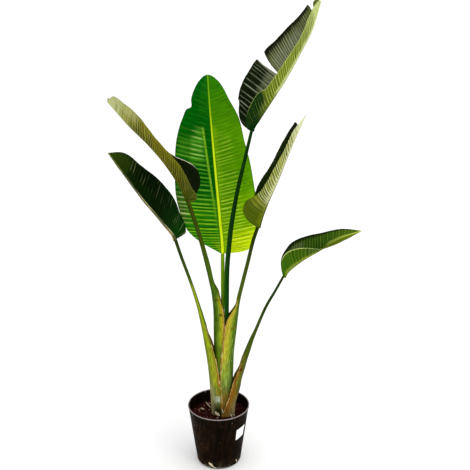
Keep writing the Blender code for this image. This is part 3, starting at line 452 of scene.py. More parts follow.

# Coats laid over the tones of a blade's surfaces: a pattern, the shares of the midrib between whose veins it
# lies, the shares of their reach, a colour and a strength. A wash is even, a crest follows the tops of the
# pleats as pale veins with a painted highlight, a line follows them thinly, a fleck shows them here and
# there, a trough follows their bottoms as painted shade, a dark fleck shows that shade here and there, and a
# margin is a thin line at the edge.
COATS = {
    "leaf_centre": {
        "face left": (
            ("wash", (-1, 0.10), (-1, 0.45), "#9cb800", 0.80),
            ("wash", (0.04, 0.32), (-1, 0.90), "#329008", 0.75),
            ("wash", (0.52, 0.62), (0.62, 0.92), "#44981c", 0.60),
            # Painted light: a lit patch on the left half, where sun comes through between the leaves.
            ("wash", (0.50, 0.64), (0.28, 0.62), "#4ca01c", 0.95),
            ("wash", (0.60, 0.69), (0.28, 0.48), "#4ca01c", 0.90),
            ("wash", (0.78, 2), (-1, 0.60), "#1c7404", 0.60),
            ("trough", (-1, 0.62), (0.06, 2), "#005004", 0.85),
            # Painted shade in the pleat bottoms of the lit patch.
            ("trough", (0.52, 0.69), (0.30, 0.56), "#0c6408", 0.60),
            ("crest", (-1, 0.30), (0.08, 2), "#a4dc24", 0.95),
            ("crest", (0.26, 0.54), (0.16, 2), "#74bc34", 0.85),
            ("wash", (0.18, 0.32), (0.80, 2), "#4c6c20", 0.60),
            ("crest", (0.16, 0.34), (0.76, 2), "#bcc484", 0.90),
            ("crest", (0.46, 0.70), (0.04, 0.26), "#3c9020", 0.40),
            ("crest", (0.50, 0.66), (0.60, 2), "#78b42c", 0.60),
            # Painted highlight on the pleat tops of the lit patch.
            ("crest", (0.52, 0.70), (0.28, 0.58), "#c0e878", 0.95),
            ("crest", (0.70, 1.1), (0.10, 0.90), "#2f8c1c", 0.50),
            ("trough", (0.66, 1.0), (0.10, 0.90), "#004c04", 0.50),
        ),
        "face right": (
            # Painted light: sun let through the base of the right half, bright yellow.
            ("wash", (-1, 0.11), (0.25, 2), "#d4f000", 0.90),
            ("wash", (0.10, 0.28), (0.40, 2), "#8cc000", 0.65),
            ("wash", (0.15, 0.72), (-1, 0.16), "#80b400", 0.50),
            ("trough", (-1, 0.62), (0.04, 0.85), "#388400", 0.70),
            # Painted highlight: the pleat tops at the base of the right half, yellower still in that painted
            # light.
            ("crest", (-1, 0.12), (0.15, 2), "#fcff48", 0.80),
            ("crest", (0.10, 0.66), (0.03, 0.60), "#d0f440", 0.80),
            ("crest", (0.30, 0.90), (0.10, 0.90), "#78b814", 0.40),
        ),
    },
    "leaf_upper_left": {
        "back left": (
            ("wash", (-1, 0.02), (-1, 2), "#44540a", 0.50),
            ("trough", (-1, 0.14), (-1, 2), "#3c3c04", 0.70),
            ("fleck", (-1, 0.14), (0.10, 0.90), "#c8c080", 0.55),
            ("wash", (0.50, 0.76), (-1, 0.40), "#484e14", 0.60),
            ("wash", (0.66, 2), (0.60, 2), "#a8ac6c", 0.65),
            ("wash", (0.86, 2), (-1, 2), "#b0b684", 0.60),
            ("trough", (0.04, 0.74), (-1, 0.80), "#303802", 0.85),
            ("trough", (0.70, 0.90), (-1, 0.60), "#6c7030", 0.40),
            ("crest", (0.03, 0.60), (-1, 2), "#b4aa44", 0.80),
            ("crest", (0.50, 0.84), (-1, 0.80), "#b0b070", 0.55),
            ("margin", (-1, 0.60), (-1, 2), "#8c8838", 0.60),
        ),
        "face right": (
            ("fleck", (0.05, 0.50), (0.20, 2), "#34340c", 0.40),
            ("margin", (0.07, 0.60), (-1, 2), "#e0dcc4", 0.90),
            ("wash", (0.88, 2), (-1, 2), "#a8ac7c", 0.90),
        ),
    },
    "leaf_lower_left": {
        "face right": (
            ("wash", (-1, 0.10), (-1, 0.85), "#083c04", 0.60),
            ("wash", (0.40, 0.80), (-1, 0.50), "#0e2c04", 0.60),
            ("wash", (0.74, 0.95), (-1, 0.80), "#384c0a", 0.60),
            ("trough", (0.00, 0.90), (0.05, 2), "#020600", 0.30),
            ("crest", (-1, 0.90), (0.10, 2), "#28380c", 0.30),
            ("fleck", (-1, 0.92), (0.45, 0.95), "#8c9068", 0.70),
        ),
    },
    "leaf_top_right": {
        "face left": (
            ("wash", (0.02, 0.42), (0.45, 2), "#0a1602", 0.70),
            # Painted sheen: grey-green reflection near the tear, over the upper half and in its middle.
            ("wash", (0.25, 0.42), (-1, 0.52), "#6c7454", 0.85),
            ("wash", (0.43, 0.92), (-1, 0.80), "#60663c", 0.85),
            ("wash", (0.45, 0.72), (0.05, 0.66), "#7c8468", 0.75),
            ("trough", (0.02, 0.42), (0.10, 2), "#080c04", 0.65),
            ("trough", (0.43, 0.95), (0.10, 2), "#2c3414", 0.70),
            ("line", (0.02, 0.42), (0.20, 0.94), "#a0a88c", 0.85),
            ("crest", (0.43, 0.95), (0.05, 0.90), "#b0b488", 0.80),
            ("wash", (0.84, 0.92), (0.05, 0.80), "#50641c", 0.60),
            ("wash", (0.43, 2), (0.86, 2), "#080c04", 0.85),
            ("wash", (0.925, 2), (0.10, 2), "#606c28", 0.90),
        ),
        "back right": (
            # Painted shadow: the lower part of the back's right half is dark green as if in shade.
            ("wash", (-1, 0.21), (0.36, 2), "#052604", 0.97),
            ("wash", (-1, 0.10), (-1, 0.60), "#062c04", 0.90),
            ("wash", (0.21, 0.42), (-1, 2), "#66780c", 0.65),
            ("trough", (0.21, 0.85), (0.10, 2), "#445204", 0.80),
            ("crest", (0.14, 2), (0.00, 0.50), "#c0c864", 0.60),
            ("crest", (0.22, 2), (0.50, 2), "#c0c864", 0.60),
            ("margin", (0.03, 0.20), (-1, 2), "#8c9c4c", 0.80),
            # Dark green pleat tops within that painted shadow.
            ("crest", (-1, 0.20), (0.00, 2), "#185008", 0.50),
            ("crest", (0.00, 0.15), (0.35, 0.85), "#58640c", 0.60),
            ("wash", (0.30, 2), (-1, 0.20), "#c4cc8c", 0.65),
            ("margin", (0.20, 2), (-1, 2), "#c0c880", 0.60),
        ),
    },
    "leaf_mid_right": {
        "face left": (
            ("wash", (0.20, 0.80), (-1, 0.55), "#384a08", 0.60),
            ("crest", (0.10, 0.80), (-1, 2), "#445414", 0.40),
        ),
        "back right": (
            ("wash", (-1, 0.14), (0.10, 2), "#485808", 0.92),
            ("wash", (0.14, 0.45), (0.45, 2), "#788018", 0.70),
            # Painted sheen: a whitish sheen on the back beside the midrib.
            ("wash", (0.22, 2), (-1, 0.26), "#ccd0a0", 0.55),
            ("trough", (0.14, 0.85), (0.10, 2), "#4c5a08", 0.95),
            ("dark fleck", (0.10, 0.75), (0.15, 2), "#3c4c04", 0.75),
            ("trough", (-1, 0.14), (0.05, 2), "#2c3a06", 0.70),
            ("crest", (0.20, 2), (0.00, 2), "#e4e4c4", 0.70),
            ("wash", (-1, 0.12), (-1, 0.20), "#606c0c", 0.70),
        ),
    },
    "leaf_low_right": {
        "face left": (
            # Painted reflection: a grey sky sheen on the lower face.
            ("wash", (0.05, 0.30), (0.25, 0.80), "#6c7c54", 0.50),
            ("trough", (0.10, 2), (0.05, 2), "#182c00", 0.60),
            ("crest", (0.08, 2), (0.10, 2), "#7c943c", 0.55),
            ("wash", (0.00, 0.92), (0.86, 2), "#060c02", 0.85),
            ("wash", (0.60, 0.92), (-1, 0.20), "#98a840", 0.65),
        ),
        "back right": (
            ("crest", (0.00, 0.60), (0.05, 2), "#5c7814", 0.55),
            ("wash", (0.00, 0.65), (-1, 0.16), "#909c30", 0.60),
            ("trough", (0.00, 0.60), (0.05, 2), "#183400", 0.60),
            ("margin", (0.08, 0.65), (-1, 2), "#c8d878", 0.90),
        ),
        "face right": (
            ("trough", (0.40, 2), (0.05, 2), "#465804", 0.60),
        ),
    },
}

# Each stalk's colours from the soil upwards, at the heights listed below
STALK_HEIGHTS = (0.18, 0.26, 0.45, 0.62, 0.85)
STALK_COLOURS = {
    "leaf_centre": ("#6e7c34", "#6c8a1c", "#5c8a10", "#64900c", "#7c9410"),
    "leaf_upper_left": ("#6c7034", "#5c6c14", "#68841a", "#4c6c10", "#3c4c08"),
    "leaf_lower_left": ("#787444", "#5c8018", "#488010", "#385808", "#243404"),
    "leaf_top_right": ("#2c5a0a", "#1c5a06", "#2c7408", "#1c5404", "#12400a"),
    "leaf_mid_right": ("#6c8440", "#708c38", "#6c9020", "#485c0c", "#243404"),
    "leaf_low_right": ("#8c7c4c", "#5c6414", "#445808", "#243c06", "#142c04"),
}

# Which way a stalk's turn grows towards the front
FRONT_TURN = {
    "leaf_centre": 1, "leaf_upper_left": 1, "leaf_lower_left": 1,
    "leaf_top_right": 1, "leaf_mid_right": -1, "leaf_low_right": -1,
}

# Coats laid over a stalk's colours: a pattern, a range of heights, a range across, a colour and a strength.
# Across is the signed square of the turn, from 0 at the middle of the stalk's back to 1 at its front margin
# and -1 at its rear margin.
STALK_COATS = {
    "leaf_centre": (("wash", (0.50, 0.90), (-0.10, 0.50), "#88b81c", 0.60),),
    "leaf_upper_left": (
        ("wash", (0.30, 0.75), (-0.5, 0.30), "#2c5004", 0.75),
        ("wash", (0.44, 0.60), (0.50, 1.2), "#a8ac14", 0.80),
        ("wash", (0.44, 0.60), (0.78, 1.2), "#b87c20", 0.45),
        ("streak", (0.12, 0.60), (-0.2, 1.2), "#84ac38", 0.45),
        ("wash", (0.594, 0.603), (0.30, 0.60), "#4c2408", 0.90),
        ("wash", (0.539, 0.548), (0.50, 0.80), "#4c2408", 0.90),
    ),
    "leaf_lower_left": (
        ("wash", (0.28, 0.66), (-0.5, 0.80), "#a4b01c", 0.80),
        ("wash", (0.28, 0.66), (-0.5, 0.24), "#44600a", 0.65),
        ("wash", (0.12, 0.28), (-0.5, 0.35), "#a89c74", 0.65),
        ("streak", (0.12, 0.42), (-0.5, 1.2), "#b8b070", 0.50),
        ("streak", (0.14, 0.40), (0.30, 1.2), "#b07818", 0.75),
        ("wash", (0.18, 0.42), (0.70, 1.2), "#8c6418", 0.60),
        # Painted highlight: a small green-white spot low on the front of the sheath.
        ("wash", (0.226, 0.242), (0.30, 0.80), "#d4dcb8", 0.85),
        ("wash", (0.130, 0.218), (0.24, 1.2), "#141f08", 0.95),
    ),
    "leaf_top_right": (("wash", (0.30, 1.20), (0.28, 1.2), "#062c04", 0.75),),
    "leaf_mid_right": (
        ("wash", (0.30, 0.56), (0.25, 1.2), "#94a424", 0.65),
        ("wash", (0.36, 0.60), (0.48, 1.2), "#c4b434", 0.75),
        ("wash", (0.22, 0.54), (0.86, 1.2), "#b88448", 0.35),
        ("wash", (0.24, 0.62), (-0.5, 0.26), "#3c5c08", 0.70),
        ("streak", (0.12, 0.46), (-0.5, 1.2), "#9cb468", 0.55),
        ("wash", (0.14, 0.26), (0.05, 1.2), "#84540f", 0.75),
        ("wash", (0.492, 0.498), (0.02, 0.45), "#7c3c10", 0.80),
    ),
    "leaf_low_right": (
        ("wash", (0.12, 0.36), (0.62, 1.2), "#985a14", 0.75),
        ("wash", (0.24, 0.60), (-0.5, 0.30), "#2c4004", 0.70),
        ("wash", (0.12, 0.27), (0.25, 1.2), "#8c5814", 0.65),
        ("wash", (0.12, 0.22), (-0.5, 0.30), "#a89468", 0.70),
        ("streak", (0.12, 0.40), (-0.5, 1.2), "#a4943c", 0.55),
        ("wash", (0.336, 0.358), (0.40, 0.90), "#4c1404", 0.95),
    ),
}


def linear(code):
    """Linear red, green and blue of a hex colour code."""
    parts = np.array([int(code[k:k + 2], 16) for k in (1, 3, 5)]) / 255
    return tuple(np.where(parts <= 0.04045, parts / 12.92, ((parts + 0.055) / 1.055) ** 2.4))


def unit(vectors):
    """Vectors of length one along the last axis."""
    return vectors / np.linalg.norm(vectors, axis=-1, keepdims=True)


def column(values):
    """A one-dimensional array turned into a column."""
    return np.asarray(values, float)[:, None]


def distances(points):
    """Distance passed at each point of a line, from 0 at its start."""
    return np.concatenate([[0.0], np.cumsum(np.linalg.norm(np.diff(points, axis=0), axis=1))])


def smooth_step(low, high, values):
    """0 below low, 1 above high, and 3t^2 - 2t^3 between them."""
    t = np.clip((values - low) / (high - low), 0.0, 1.0)
    return t * t * (3 - 2 * t)


def cubic_pieces(places, knots, steps, values, slopes):
    """Cubic pieces that pass the values at the knots with these slopes, read at places between them."""
    span = np.clip(np.searchsorted(knots, places, side="right") - 1, 0, len(steps) - 1)
    length = column(steps[span])
    t = column(places - knots[span]) / length
    return (values[span] * (2 * t**3 - 3 * t**2 + 1) + slopes[span] * length * (t**3 - 2 * t**2 + t)
            + values[span + 1] * (3 * t**2 - 2 * t**3) + slopes[span + 1] * length * (t**3 - t**2))


def smooth_curve(points, where, start_slope=None):
    """Cubic curve through the points; where runs from 0 to 1 by distance along the chords."""
    points = np.asarray(points, float)
    knots = distances(points)
    steps = np.linalg.norm(np.diff(points, axis=0), axis=1)
    chords = np.diff(points, axis=0) / column(steps)
    slopes = np.empty_like(points)
    weight = column(steps[:-1] / (steps[:-1] + steps[1:]))
    slopes[1:-1] = chords[:-1] * (1 - weight) + chords[1:] * weight
    slopes[0] = chords[0] if start_slope is None else start_slope
    slopes[-1] = chords[-1]
    return cubic_pieces(np.clip(where, 0.0, 1.0) * knots[-1], knots, steps, points, slopes)


def smooth_table(heights, rows):
    """Columns of a table read at given heights, by cubic steps that never pass the table's values."""
    rows = np.asarray(rows, float)
    knots, values = rows[:, 0], rows[:, 1:]
    steps = np.diff(knots)
    rise = np.diff(values, axis=0) / column(steps)
    slopes = np.zeros_like(values)
    product = rise[:-1] * rise[1:]
    total = np.where(rise[:-1] + rise[1:] == 0, 1.0, rise[:-1] + rise[1:])
    slopes[1:-1] = np.where(product > 0, 2 * product / total, 0.0)
    slopes[0], slopes[-1] = rise[0], rise[-1]
    return cubic_pieces(heights, knots, steps, values, slopes)


def ripple_noise(seed, *places):
    """Smooth noise from about -1 to 1: a sum of twelve plane waves whose directions come from the seed."""
    waves, usual_height = 12, 5.0
    draw = np.random.default_rng(seed)
    total = 0.0
    for _ in range(waves):
        phase = draw.uniform(0, FULL_TURN)
        pull = draw.normal(0, 1, len(places))
        total = total + np.sin(sum(p * k for p, k in zip(places, pull)) * 2 * math.pi + phase)
    return total / usual_height


def grid_faces(rows, width, start=0, turned=False):
    """Quads of a grid of rows by width points, numbered row by row from start."""
    corner = start + (np.arange(rows - 1)[:, None] * width + np.arange(width - 1)[None, :]).ravel()
    order = (0, width, width + 1, 1) if turned else (0, 1, width + 1, width)
    return np.stack([corner + step for step in order], axis=1)


def strip_faces(first, second):
    """Quads between two runs of point numbers of equal length."""
    return np.stack([first[:-1], first[1:], second[1:], second[:-1]], axis=1)


def sheet_faces(rows, width, start=0):
    """Quads of a thin closed sheet: its front grid, its rear grid, numbered after it, and its rim."""
    total = rows * width
    index = np.arange(total).reshape(rows, width) + start
    edges = (index[::-1, 0], index[:, -1], index[0], index[-1, ::-1])
    rim = [strip_faces(edge, edge + total) for edge in edges]
    front, rear = grid_faces(rows, width, start), grid_faces(rows, width, start + total, turned=True)
    return np.concatenate([front, rear] + rim)


def tube_faces(rings, sides):
    """Point numbers of rings laid one on another, and the quads between each ring and the next."""
    index = np.arange(rings * sides).reshape(rings, sides)
    wrapped = np.concatenate([index, index[:, :1]], axis=1)
    return index, np.stack([wrapped[:-1, :-1], wrapped[:-1, 1:], wrapped[1:, 1:], wrapped[1:, :-1]], axis=-1)


def lathe(radii, heights, sides):
    """Rings of points about the pot's axis, at an even angle, with a height for each ring or each point."""
    angles = np.arange(sides) * 2 * math.pi / sides
    x, y = column(radii) * np.cos(angles), column(radii) * np.sin(angles)
    return np.stack([x, y, np.broadcast_to(heights, x.shape)], axis=-1)


def listed(*grids):
    """Grids of points one after another, as one list of points."""
    return np.concatenate([grid.reshape(-1, 3) for grid in grids])


def quad_mesh(name, points, quads):
    """A smooth-shaded mesh object from whole arrays of points and quads."""
    points, quads = listed(points), quads.reshape(-1, 4)
    mesh = bpy.data.meshes.new(name)
    mesh.vertices.add(len(points))
    mesh.vertices.foreach_set("co", points.astype(np.float32).ravel())
    mesh.loops.add(quads.size)
    mesh.loops.foreach_set("vertex_index", quads.astype(np.int32).ravel())
    mesh.polygons.add(len(quads))
    mesh.polygons.foreach_set("loop_start", np.arange(0, quads.size, 4, dtype=np.int32))
    mesh.update(calc_edges=True)
    mesh.validate()
    mesh.shade_smooth()
    obj = bpy.data.objects.new(name, mesh)
    bpy.context.scene.collection.objects.link(obj)
    return obj


def set_attribute(obj, name, vectors):
    """A vector for each point, which the materials read by name."""
    data = obj.data.attributes.new(name, "FLOAT_VECTOR", "POINT")
    data.data.foreach_set("vector", vectors.astype(np.float32).ravel())


def face_out(obj, merge_poles=False):
    """Turn the faces of a closed mesh outwards, where asked after merging the points of each pole."""
    edit = bmesh.new()
    edit.from_mesh(obj.data)
    if merge_poles:
        bmesh.ops.remove_doubles(edit, verts=edit.verts, dist=SAME_POINT)
        bmesh.ops.dissolve_degenerate(edit, edges=edit.edges, dist=NO_LENGTH)
    bmesh.ops.recalc_face_normals(edit, faces=edit.faces)
    edit.to_mesh(obj.data)
    edit.free()
    obj.data.shade_smooth()
    return obj


def finish_piece(obj, material, slot, *nodes):
    """Give a piece its material, hang it on the body that it rides on and hide the CAD nodes that it stands
    for.
    """
    obj.data.materials.append(material)
    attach(obj, BODY)
    if nodes:
        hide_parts(*nodes)


# The soft ends of a window are at most this share of it.
WINDOW_END_SHARE = 0.45


class Wiring:
    """A node tree, with short calls that add and wire its nodes."""

    def __init__(self, tree):
        self.tree = tree

    def add(self, kind):
        """One new node."""
        return self.tree.nodes.new(kind)

    def put(self, socket, value):
        """Wire a value into a socket, or set a constant on it."""
        if isinstance(value, bpy.types.NodeSocket):
            self.tree.links.new(value, socket)
        else:
            socket.default_value = value

    def fill(self, node, *values):
        """Wire or set the first sockets of a node in order."""
        for socket, value in zip(node.inputs, values):
            self.put(socket, value)
        return node

    def math(self, operation, a, b=0.0, c=0.0):
        """One Math node."""
        node = self.add("ShaderNodeMath")
        node.operation = operation
        return self.fill(node, a, b, c).outputs[0]

    def product(self, *values):
        """Values multiplied together."""
        total = values[0]
        for value in values[1:]:
            total = self.math("MULTIPLY", total, value)
        return total

    def scaled(self, value, factor, added):
        """A value times a factor, plus a number or another value."""
        return self.math("MULTIPLY_ADD", value, factor, added)


class Finish(Wiring):
    """One Principled material and the patterns that it is made of."""

    def __init__(self, name, roughness, specular):
        self.material = bpy.data.materials.new(name)
        self.material.use_nodes = True
        super().__init__(self.material.node_tree)
        self.shader = self.tree.nodes["Principled BSDF"]
        self.shader.inputs["Roughness"].default_value = roughness
        self.shader.inputs["Specular IOR Level"].default_value = specular

    def spread(self, value, low, high, out_low=0.0, out_high=1.0):
        """A value moved smoothly from one range to another, and held at its ends."""
        node = self.add("ShaderNodeMapRange")
        node.interpolation_type = "SMOOTHSTEP"
        return self.fill(node, value, low, high, out_low, out_high).outputs[0]

    def mix(self, amount, first, second, blend="MIX"):
        """Two colours mixed; a colour given as a tuple has three parts."""
        node = self.add("ShaderNodeMix")
        node.data_type = "RGBA"
        node.blend_type = blend
        self.put(node.inputs[0], amount)
        for socket, value in ((node.inputs[6], first), (node.inputs[7], second)):
            self.put(socket, value if isinstance(value, bpy.types.NodeSocket) else (*value, 1.0))
        return node.outputs[2]

    def coat(self, tissue, amount, code):
        """A colour laid over another by an amount."""
        return self.mix(amount, tissue, linear(code))

    def stain(self, tissue, name, *masks):
        """A named stain laid over a colour within all its masks."""
        code, *strength = STAINS[name]
        return self.coat(tissue, self.product(*masks, *strength), code)

    def shaded(self, tissue, factor):
        """A colour made darker or lighter by a factor."""
        return self.mix(1.0, tissue, self.join(factor, factor, factor), "MULTIPLY")

    def coats(self, tissue, rows, along, across, softness, patterns, *masks):
        """Coats laid on in order, each within its window along and across and in its own pattern."""
        for pattern, (low, high), (inner, outer), code, strength in rows:
            window = self.product(self.window(along, low, high, softness[0]),
                                  self.window(across, inner, outer, softness[1]))
            tissue = self.coat(tissue, self.product(window, *masks, patterns[pattern], strength), code)
        return tissue

    def attribute(self, name):
        """The three parts of a point attribute."""
        node = self.add("ShaderNodeAttribute")
        node.attribute_name = name
        return self.split(node.outputs["Vector"])

    def split(self, vector):
        """The three parts of a vector."""
        return self.fill(self.add("ShaderNodeSeparateXYZ"), vector).outputs

    def join(self, x, y, z=0.0):
        """A vector from three parts."""
        return self.fill(self.add("ShaderNodeCombineXYZ"), x, y, z).outputs[0]

    def place(self):
        """Object coordinates, in metres."""
        return self.add("ShaderNodeTexCoord").outputs["Object"]

    def noise(self, vector, scale, detail=2.0, roughness=0.5):
        """Noise from about 0 to 1 at so many waves a metre."""
        node = self.add("ShaderNodeTexNoise")
        self.put(node.inputs["Vector"], vector)
        node.inputs["Scale"].default_value = scale
        node.inputs["Detail"].default_value = detail
        node.inputs["Roughness"].default_value = roughness
        return node.outputs["Fac"]

    def patches(self, vector, noise, window, result=(0.0, 1.0)):
        """Noise of a scale, a detail and perhaps a roughness, spread from a window to a range."""
        return self.spread(self.noise(vector, *noise), *window, *result)

    def cells(self, vector, scale):
        """A random value for each cell of a scattered pattern, and the distance to its middle."""
        node = self.add("ShaderNodeTexVoronoi")
        self.put(node.inputs["Vector"], vector)
        node.inputs["Scale"].default_value = scale
        return self.split(node.outputs["Color"])[0], node.outputs["Distance"]

    def specks(self, vector, scale, rarity, size):
        """Round specks in the cells whose random value lies past a window, as wide as another window says."""
        chance, distance = self.cells(vector, scale)
        return self.product(self.spread(chance, *rarity), self.spread(distance, *size))

    def swayed(self, value, noise, width):
        """A value moved to and fro by noise, over a range of this width."""
        return self.math("ADD", value, self.scaled(noise, width, -width / 2))

    def window(self, value, low, high, soft):
        """1 where a value lies between two limits, with soft ends that a narrow window shortens."""
        soft = min(soft, WINDOW_END_SHARE * (high - low))
        below = self.spread(value, low - soft, low + soft)
        return self.product(below, self.spread(value, high + soft, high - soft))

    def wave(self, turns, shift=0.0):
        """A wave from 0 to 1 of a phase in turns."""
        angle = self.scaled(turns, FULL_TURN, -FULL_TURN * shift)
        return self.scaled(self.math("SINE", angle), 0.5, 0.5)

    def bump(self, height, depth):
        """Relief from a height of 0 to 1, this deep in metres."""
        node = self.add("ShaderNodeBump")
        node.inputs["Distance"].default_value = depth
        self.put(node.inputs["Height"], height)
        self.put(self.shader.inputs["Normal"], node.outputs[0])
        return node.outputs[0]

    def colour(self, value):
        """Wire the base colour."""
        self.put(self.shader.inputs["Base Color"], value)

    def rough(self, value):
        """Wire the roughness."""
        self.put(self.shader.inputs["Roughness"], value)

    def glow(self, share, colour, normal):
        """Let a share of the light through, tinted, as a leaf against the light does."""
        through = self.add("ShaderNodeBsdfTranslucent")
        self.put(through.inputs["Color"], colour)
        self.put(through.inputs["Normal"], normal)
        blend = self.fill(self.add("ShaderNodeMixShader"), share, self.shader.outputs[0], through.outputs[0])
        self.put(self.tree.nodes["Material Output"].inputs["Surface"], blend.outputs[0])


def stalk_slope(leaf):
    """Direction of the stalk's middle line at its top."""
    top = leaf["stalk"][-1][0]
    low, high = smooth_table(np.array([top - SLOPE_STEP, top]), leaf["stalk"])
    rise = np.array([(high[0] + high[1] - low[0] - low[1]) / 2, high[2] - low[2], SLOPE_STEP])
    return unit(rise)


def midrib_curve(leaf):
    """Fine points of the midrib and the distance along it: a cubic curve that goes on from the stalk."""
    z, back, edge, middle = leaf["stalk"][-1][:4]
    slope = stalk_slope(leaf)
    start = np.array([(back + edge) / 2, middle, z]) + slope * STALK_GAP
    fine = smooth_curve([tuple(start)] + leaf["midrib"], np.linspace(0, 1, CURVE_STEPS), slope)
    return fine, distances(fine)


def read_line(places, knots, line):
    """Points of a line read at places between its knots."""
    return np.stack([np.interp(places, knots, line[:, k]) for k in range(3)], axis=-1)


def blade_frame(leaf, along):
    """Midrib point, face direction and right-hand direction at distances along the flat blade."""
    fine, travelled = midrib_curve(leaf)
    length = travelled[-1]
    share = np.clip(along / length, 0.0, 1.0)
    inside = np.clip(along, 0.0, length)
    tangent = unit(read_line(inside, travelled, unit(np.gradient(fine, travelled, axis=0))))
    point = read_line(inside, travelled, fine) + tangent * (along - inside)[..., None] + UP * LEAF_LEVEL
    base, tip = np.array(leaf["face"])
    hint = base + (tip - base) * share[..., None]
    face = unit(hint - tangent * np.sum(hint * tangent, axis=-1, keepdims=True))
    return point, face, np.cross(tangent, face), share


def along_blade(values, share):
    """A value read smoothly along the blade from values evenly spaced between its base and its tip."""
    rows = np.stack([np.linspace(0.0, 1.0, len(values)), values], axis=1)
    return smooth_table(share.ravel(), rows)[:, 0].reshape(share.shape)


def half_of(pair, side):
    """The entry of a left and right pair that belongs to a side of -1 or 1."""
    return pair["left" if side < 0 else "right"]


def outline_points(leaf, side):
    """Outline of one half from the base to the tip, as along and across."""
    length = midrib_curve(leaf)[1][-1]
    return np.array([(0.0, BASE_HALF_WIDTH)] + half_of(leaf, side)["outline"] + [(length, TIP_HALF_WIDTH)])


def vein_table(leaf, veins, side):
    """Root of the vein that ends at each outline point, as a share of the midrib.

    A root lies behind its vein's end by the lead times the reach, and never behind the root before it.
    Beside it stand the share of the outline passed so far, and the margin passed in metres, which a tear
    doesn't lengthen."""
    points = outline_points(leaf, side)
    length = points[-1, 0]
    passed = distances(points) / np.linalg.norm(np.diff(points, axis=0), axis=1).sum()
    lead = along_blade(half_of(veins, side)[0], np.clip(points[:, 0] / length, 0, 1))
    root = np.clip(points[:, 0] - lead * points[:, 1], 0.0, length) / length
    root = np.maximum.accumulate(root) + ROOT_STEP * np.arange(len(root))
    root = (root - root[0]) / (root[-1] - root[0])
    return np.stack([root, passed, distances(np.maximum.accumulate(points, axis=0))], axis=1)


def row_roots(leaf, veins, rows):
    """Share of the midrib where each row starts, closer together where an outline has more to draw."""
    fine = np.linspace(0.0, 1.0, ROOT_STEPS)
    drawn = fine + sum(smooth_table(fine, vein_table(leaf, veins, side))[:, 0] for side in (-1, 1))
    return np.interp(np.linspace(0.0, drawn[-1], rows), drawn, fine)


def not_flat(bend):
    """A bend kept off zero, so that a radius can be found by dividing by it."""
    return np.where(np.abs(bend) < LEAST_BEND, LEAST_BEND, bend)


def bent_section(half, share, reach):
    """How far out and up the points of a bent half lie, and how far its surface has turned there.

    The turn grows from 0 to the fold across the trough of the midrib, and then by the curl. Out and up are
    its cosine and its sine summed along the vein."""
    fold = not_flat(np.radians(along_blade(half["fold"], share)))
    widest = max(across for _, across in half["outline"])
    curl = not_flat(np.radians(along_blade(half["curl"], share)) / widest)
    trough = np.minimum(reach, TROUGH_WIDTH)
    turned = fold * trough / TROUGH_WIDTH
    end = turned + curl * (reach - trough)
    radius = TROUGH_WIDTH / fold
    out = np.sin(turned) * radius + (np.sin(end) - np.sin(turned)) / curl
    up = (1 - np.cos(turned)) * radius + (np.cos(turned) - np.cos(end)) / curl
    return out, up, end


def pleat_phase(margin, spacing, side):
    """Phase of the pleats in turns: the margin passed over their spacing, swayed by two slow sines."""
    phase = np.cumsum(np.gradient(margin) / spacing)
    sway = WIDE_SWAY[0] * np.sin(margin * WIDE_SWAY[1] + side)
    return column(phase + sway + NARROW_SWAY[0] * np.sin(margin * NARROW_SWAY[1]))


def crowding(along, reach, margin):
    """Distance between neighbouring veins as a share of their distance at the margin, at most 1."""
    flat = np.stack([along, reach], axis=-1)
    gap = np.linalg.norm(np.gradient(flat, axis=0), axis=-1)
    return np.clip(gap / np.maximum(column(np.gradient(margin)), LEAST_GAP), 0.0, 1.0)


def half_blade(leaf, veins, side, roots, places, look):
    """Points, outward directions and places of one half of a blade.

    A row runs along a vein from its root on the midrib to its end on the outline, and bends forward with
    its share of reach to the power VEIN_BEND. Pleats are a sine of the margin passed, lower where veins
    crowd together, and the edge has slow waves and a fine ruffle, also sines."""
    half = half_of(leaf, side)
    leads, spacings = half_of(veins, side)
    outline = outline_points(leaf, side)
    length = outline[-1, 0]
    passed, margin = smooth_table(roots, vein_table(leaf, veins, side)).T
    edge = smooth_curve(outline, passed)
    run = np.broadcast_to(column(roots * length), (len(roots), len(places)))
    across = np.broadcast_to(places[None, :], run.shape)
    reach = places[None, :] * edge[:, 1:2]
    along = run + (edge[:, :1] - run) * places[None, :] ** VEIN_BEND
    point, face, right, share = blade_frame(leaf, along)
    out, up, turned = bent_section(half, share, reach)
    normal = face * np.cos(turned)[..., None] - right * (side * np.sin(turned))[..., None]
    ends = np.clip(np.sin(math.pi * column(roots)) * END_RISE, 0, 1)
    height, turns, phase = leaf["wave"]
    wave = height * across**2 * np.sin(FULL_TURN * (turns * column(roots) + phase + WAVE_LAG * side)) * ends
    pleats = pleat_phase(margin, along_blade(spacings, roots), side)
    crowd = crowding(along, reach, margin)
    fading = 1 - MARGIN_LOSS * smooth_step(*MARGIN_SHARES, across)
    swell = smooth_step(*SWELL_REACH, reach) * fading * ends * crowd
    ruffle = RUFFLE_HEIGHT * smooth_step(*RUFFLE_SHARES, across)
    ruffle = ruffle * np.sin(FULL_TURN * column(margin) / RUFFLE_LENGTH + side) * ends
    lift = look.pleat_height * np.sin(FULL_TURN * pleats) * swell + wave + ruffle
    point = point + right * (side * out)[..., None] + face * up[..., None] + normal * lift[..., None]
    root = (along - along_blade(leads, share) * reach) / length
    where = np.stack([reach, run, across], axis=-1)
    nothing = np.zeros_like(root)
    shares = np.stack([root, nothing + (side + 1) / 2, nothing], axis=-1)
    lines = np.stack([np.broadcast_to(pleats, run.shape), edge[:, 1:2] - reach, nothing], axis=-1)
    return point, normal, where, shares, lines


def rib_size(start, size, lost, swelling):
    """A size of the midrib: less towards the tip, and more by a swelling that fades from the base."""
    return size * (1 - lost * start) + swelling * np.exp(-start / RIB_SWELLING)


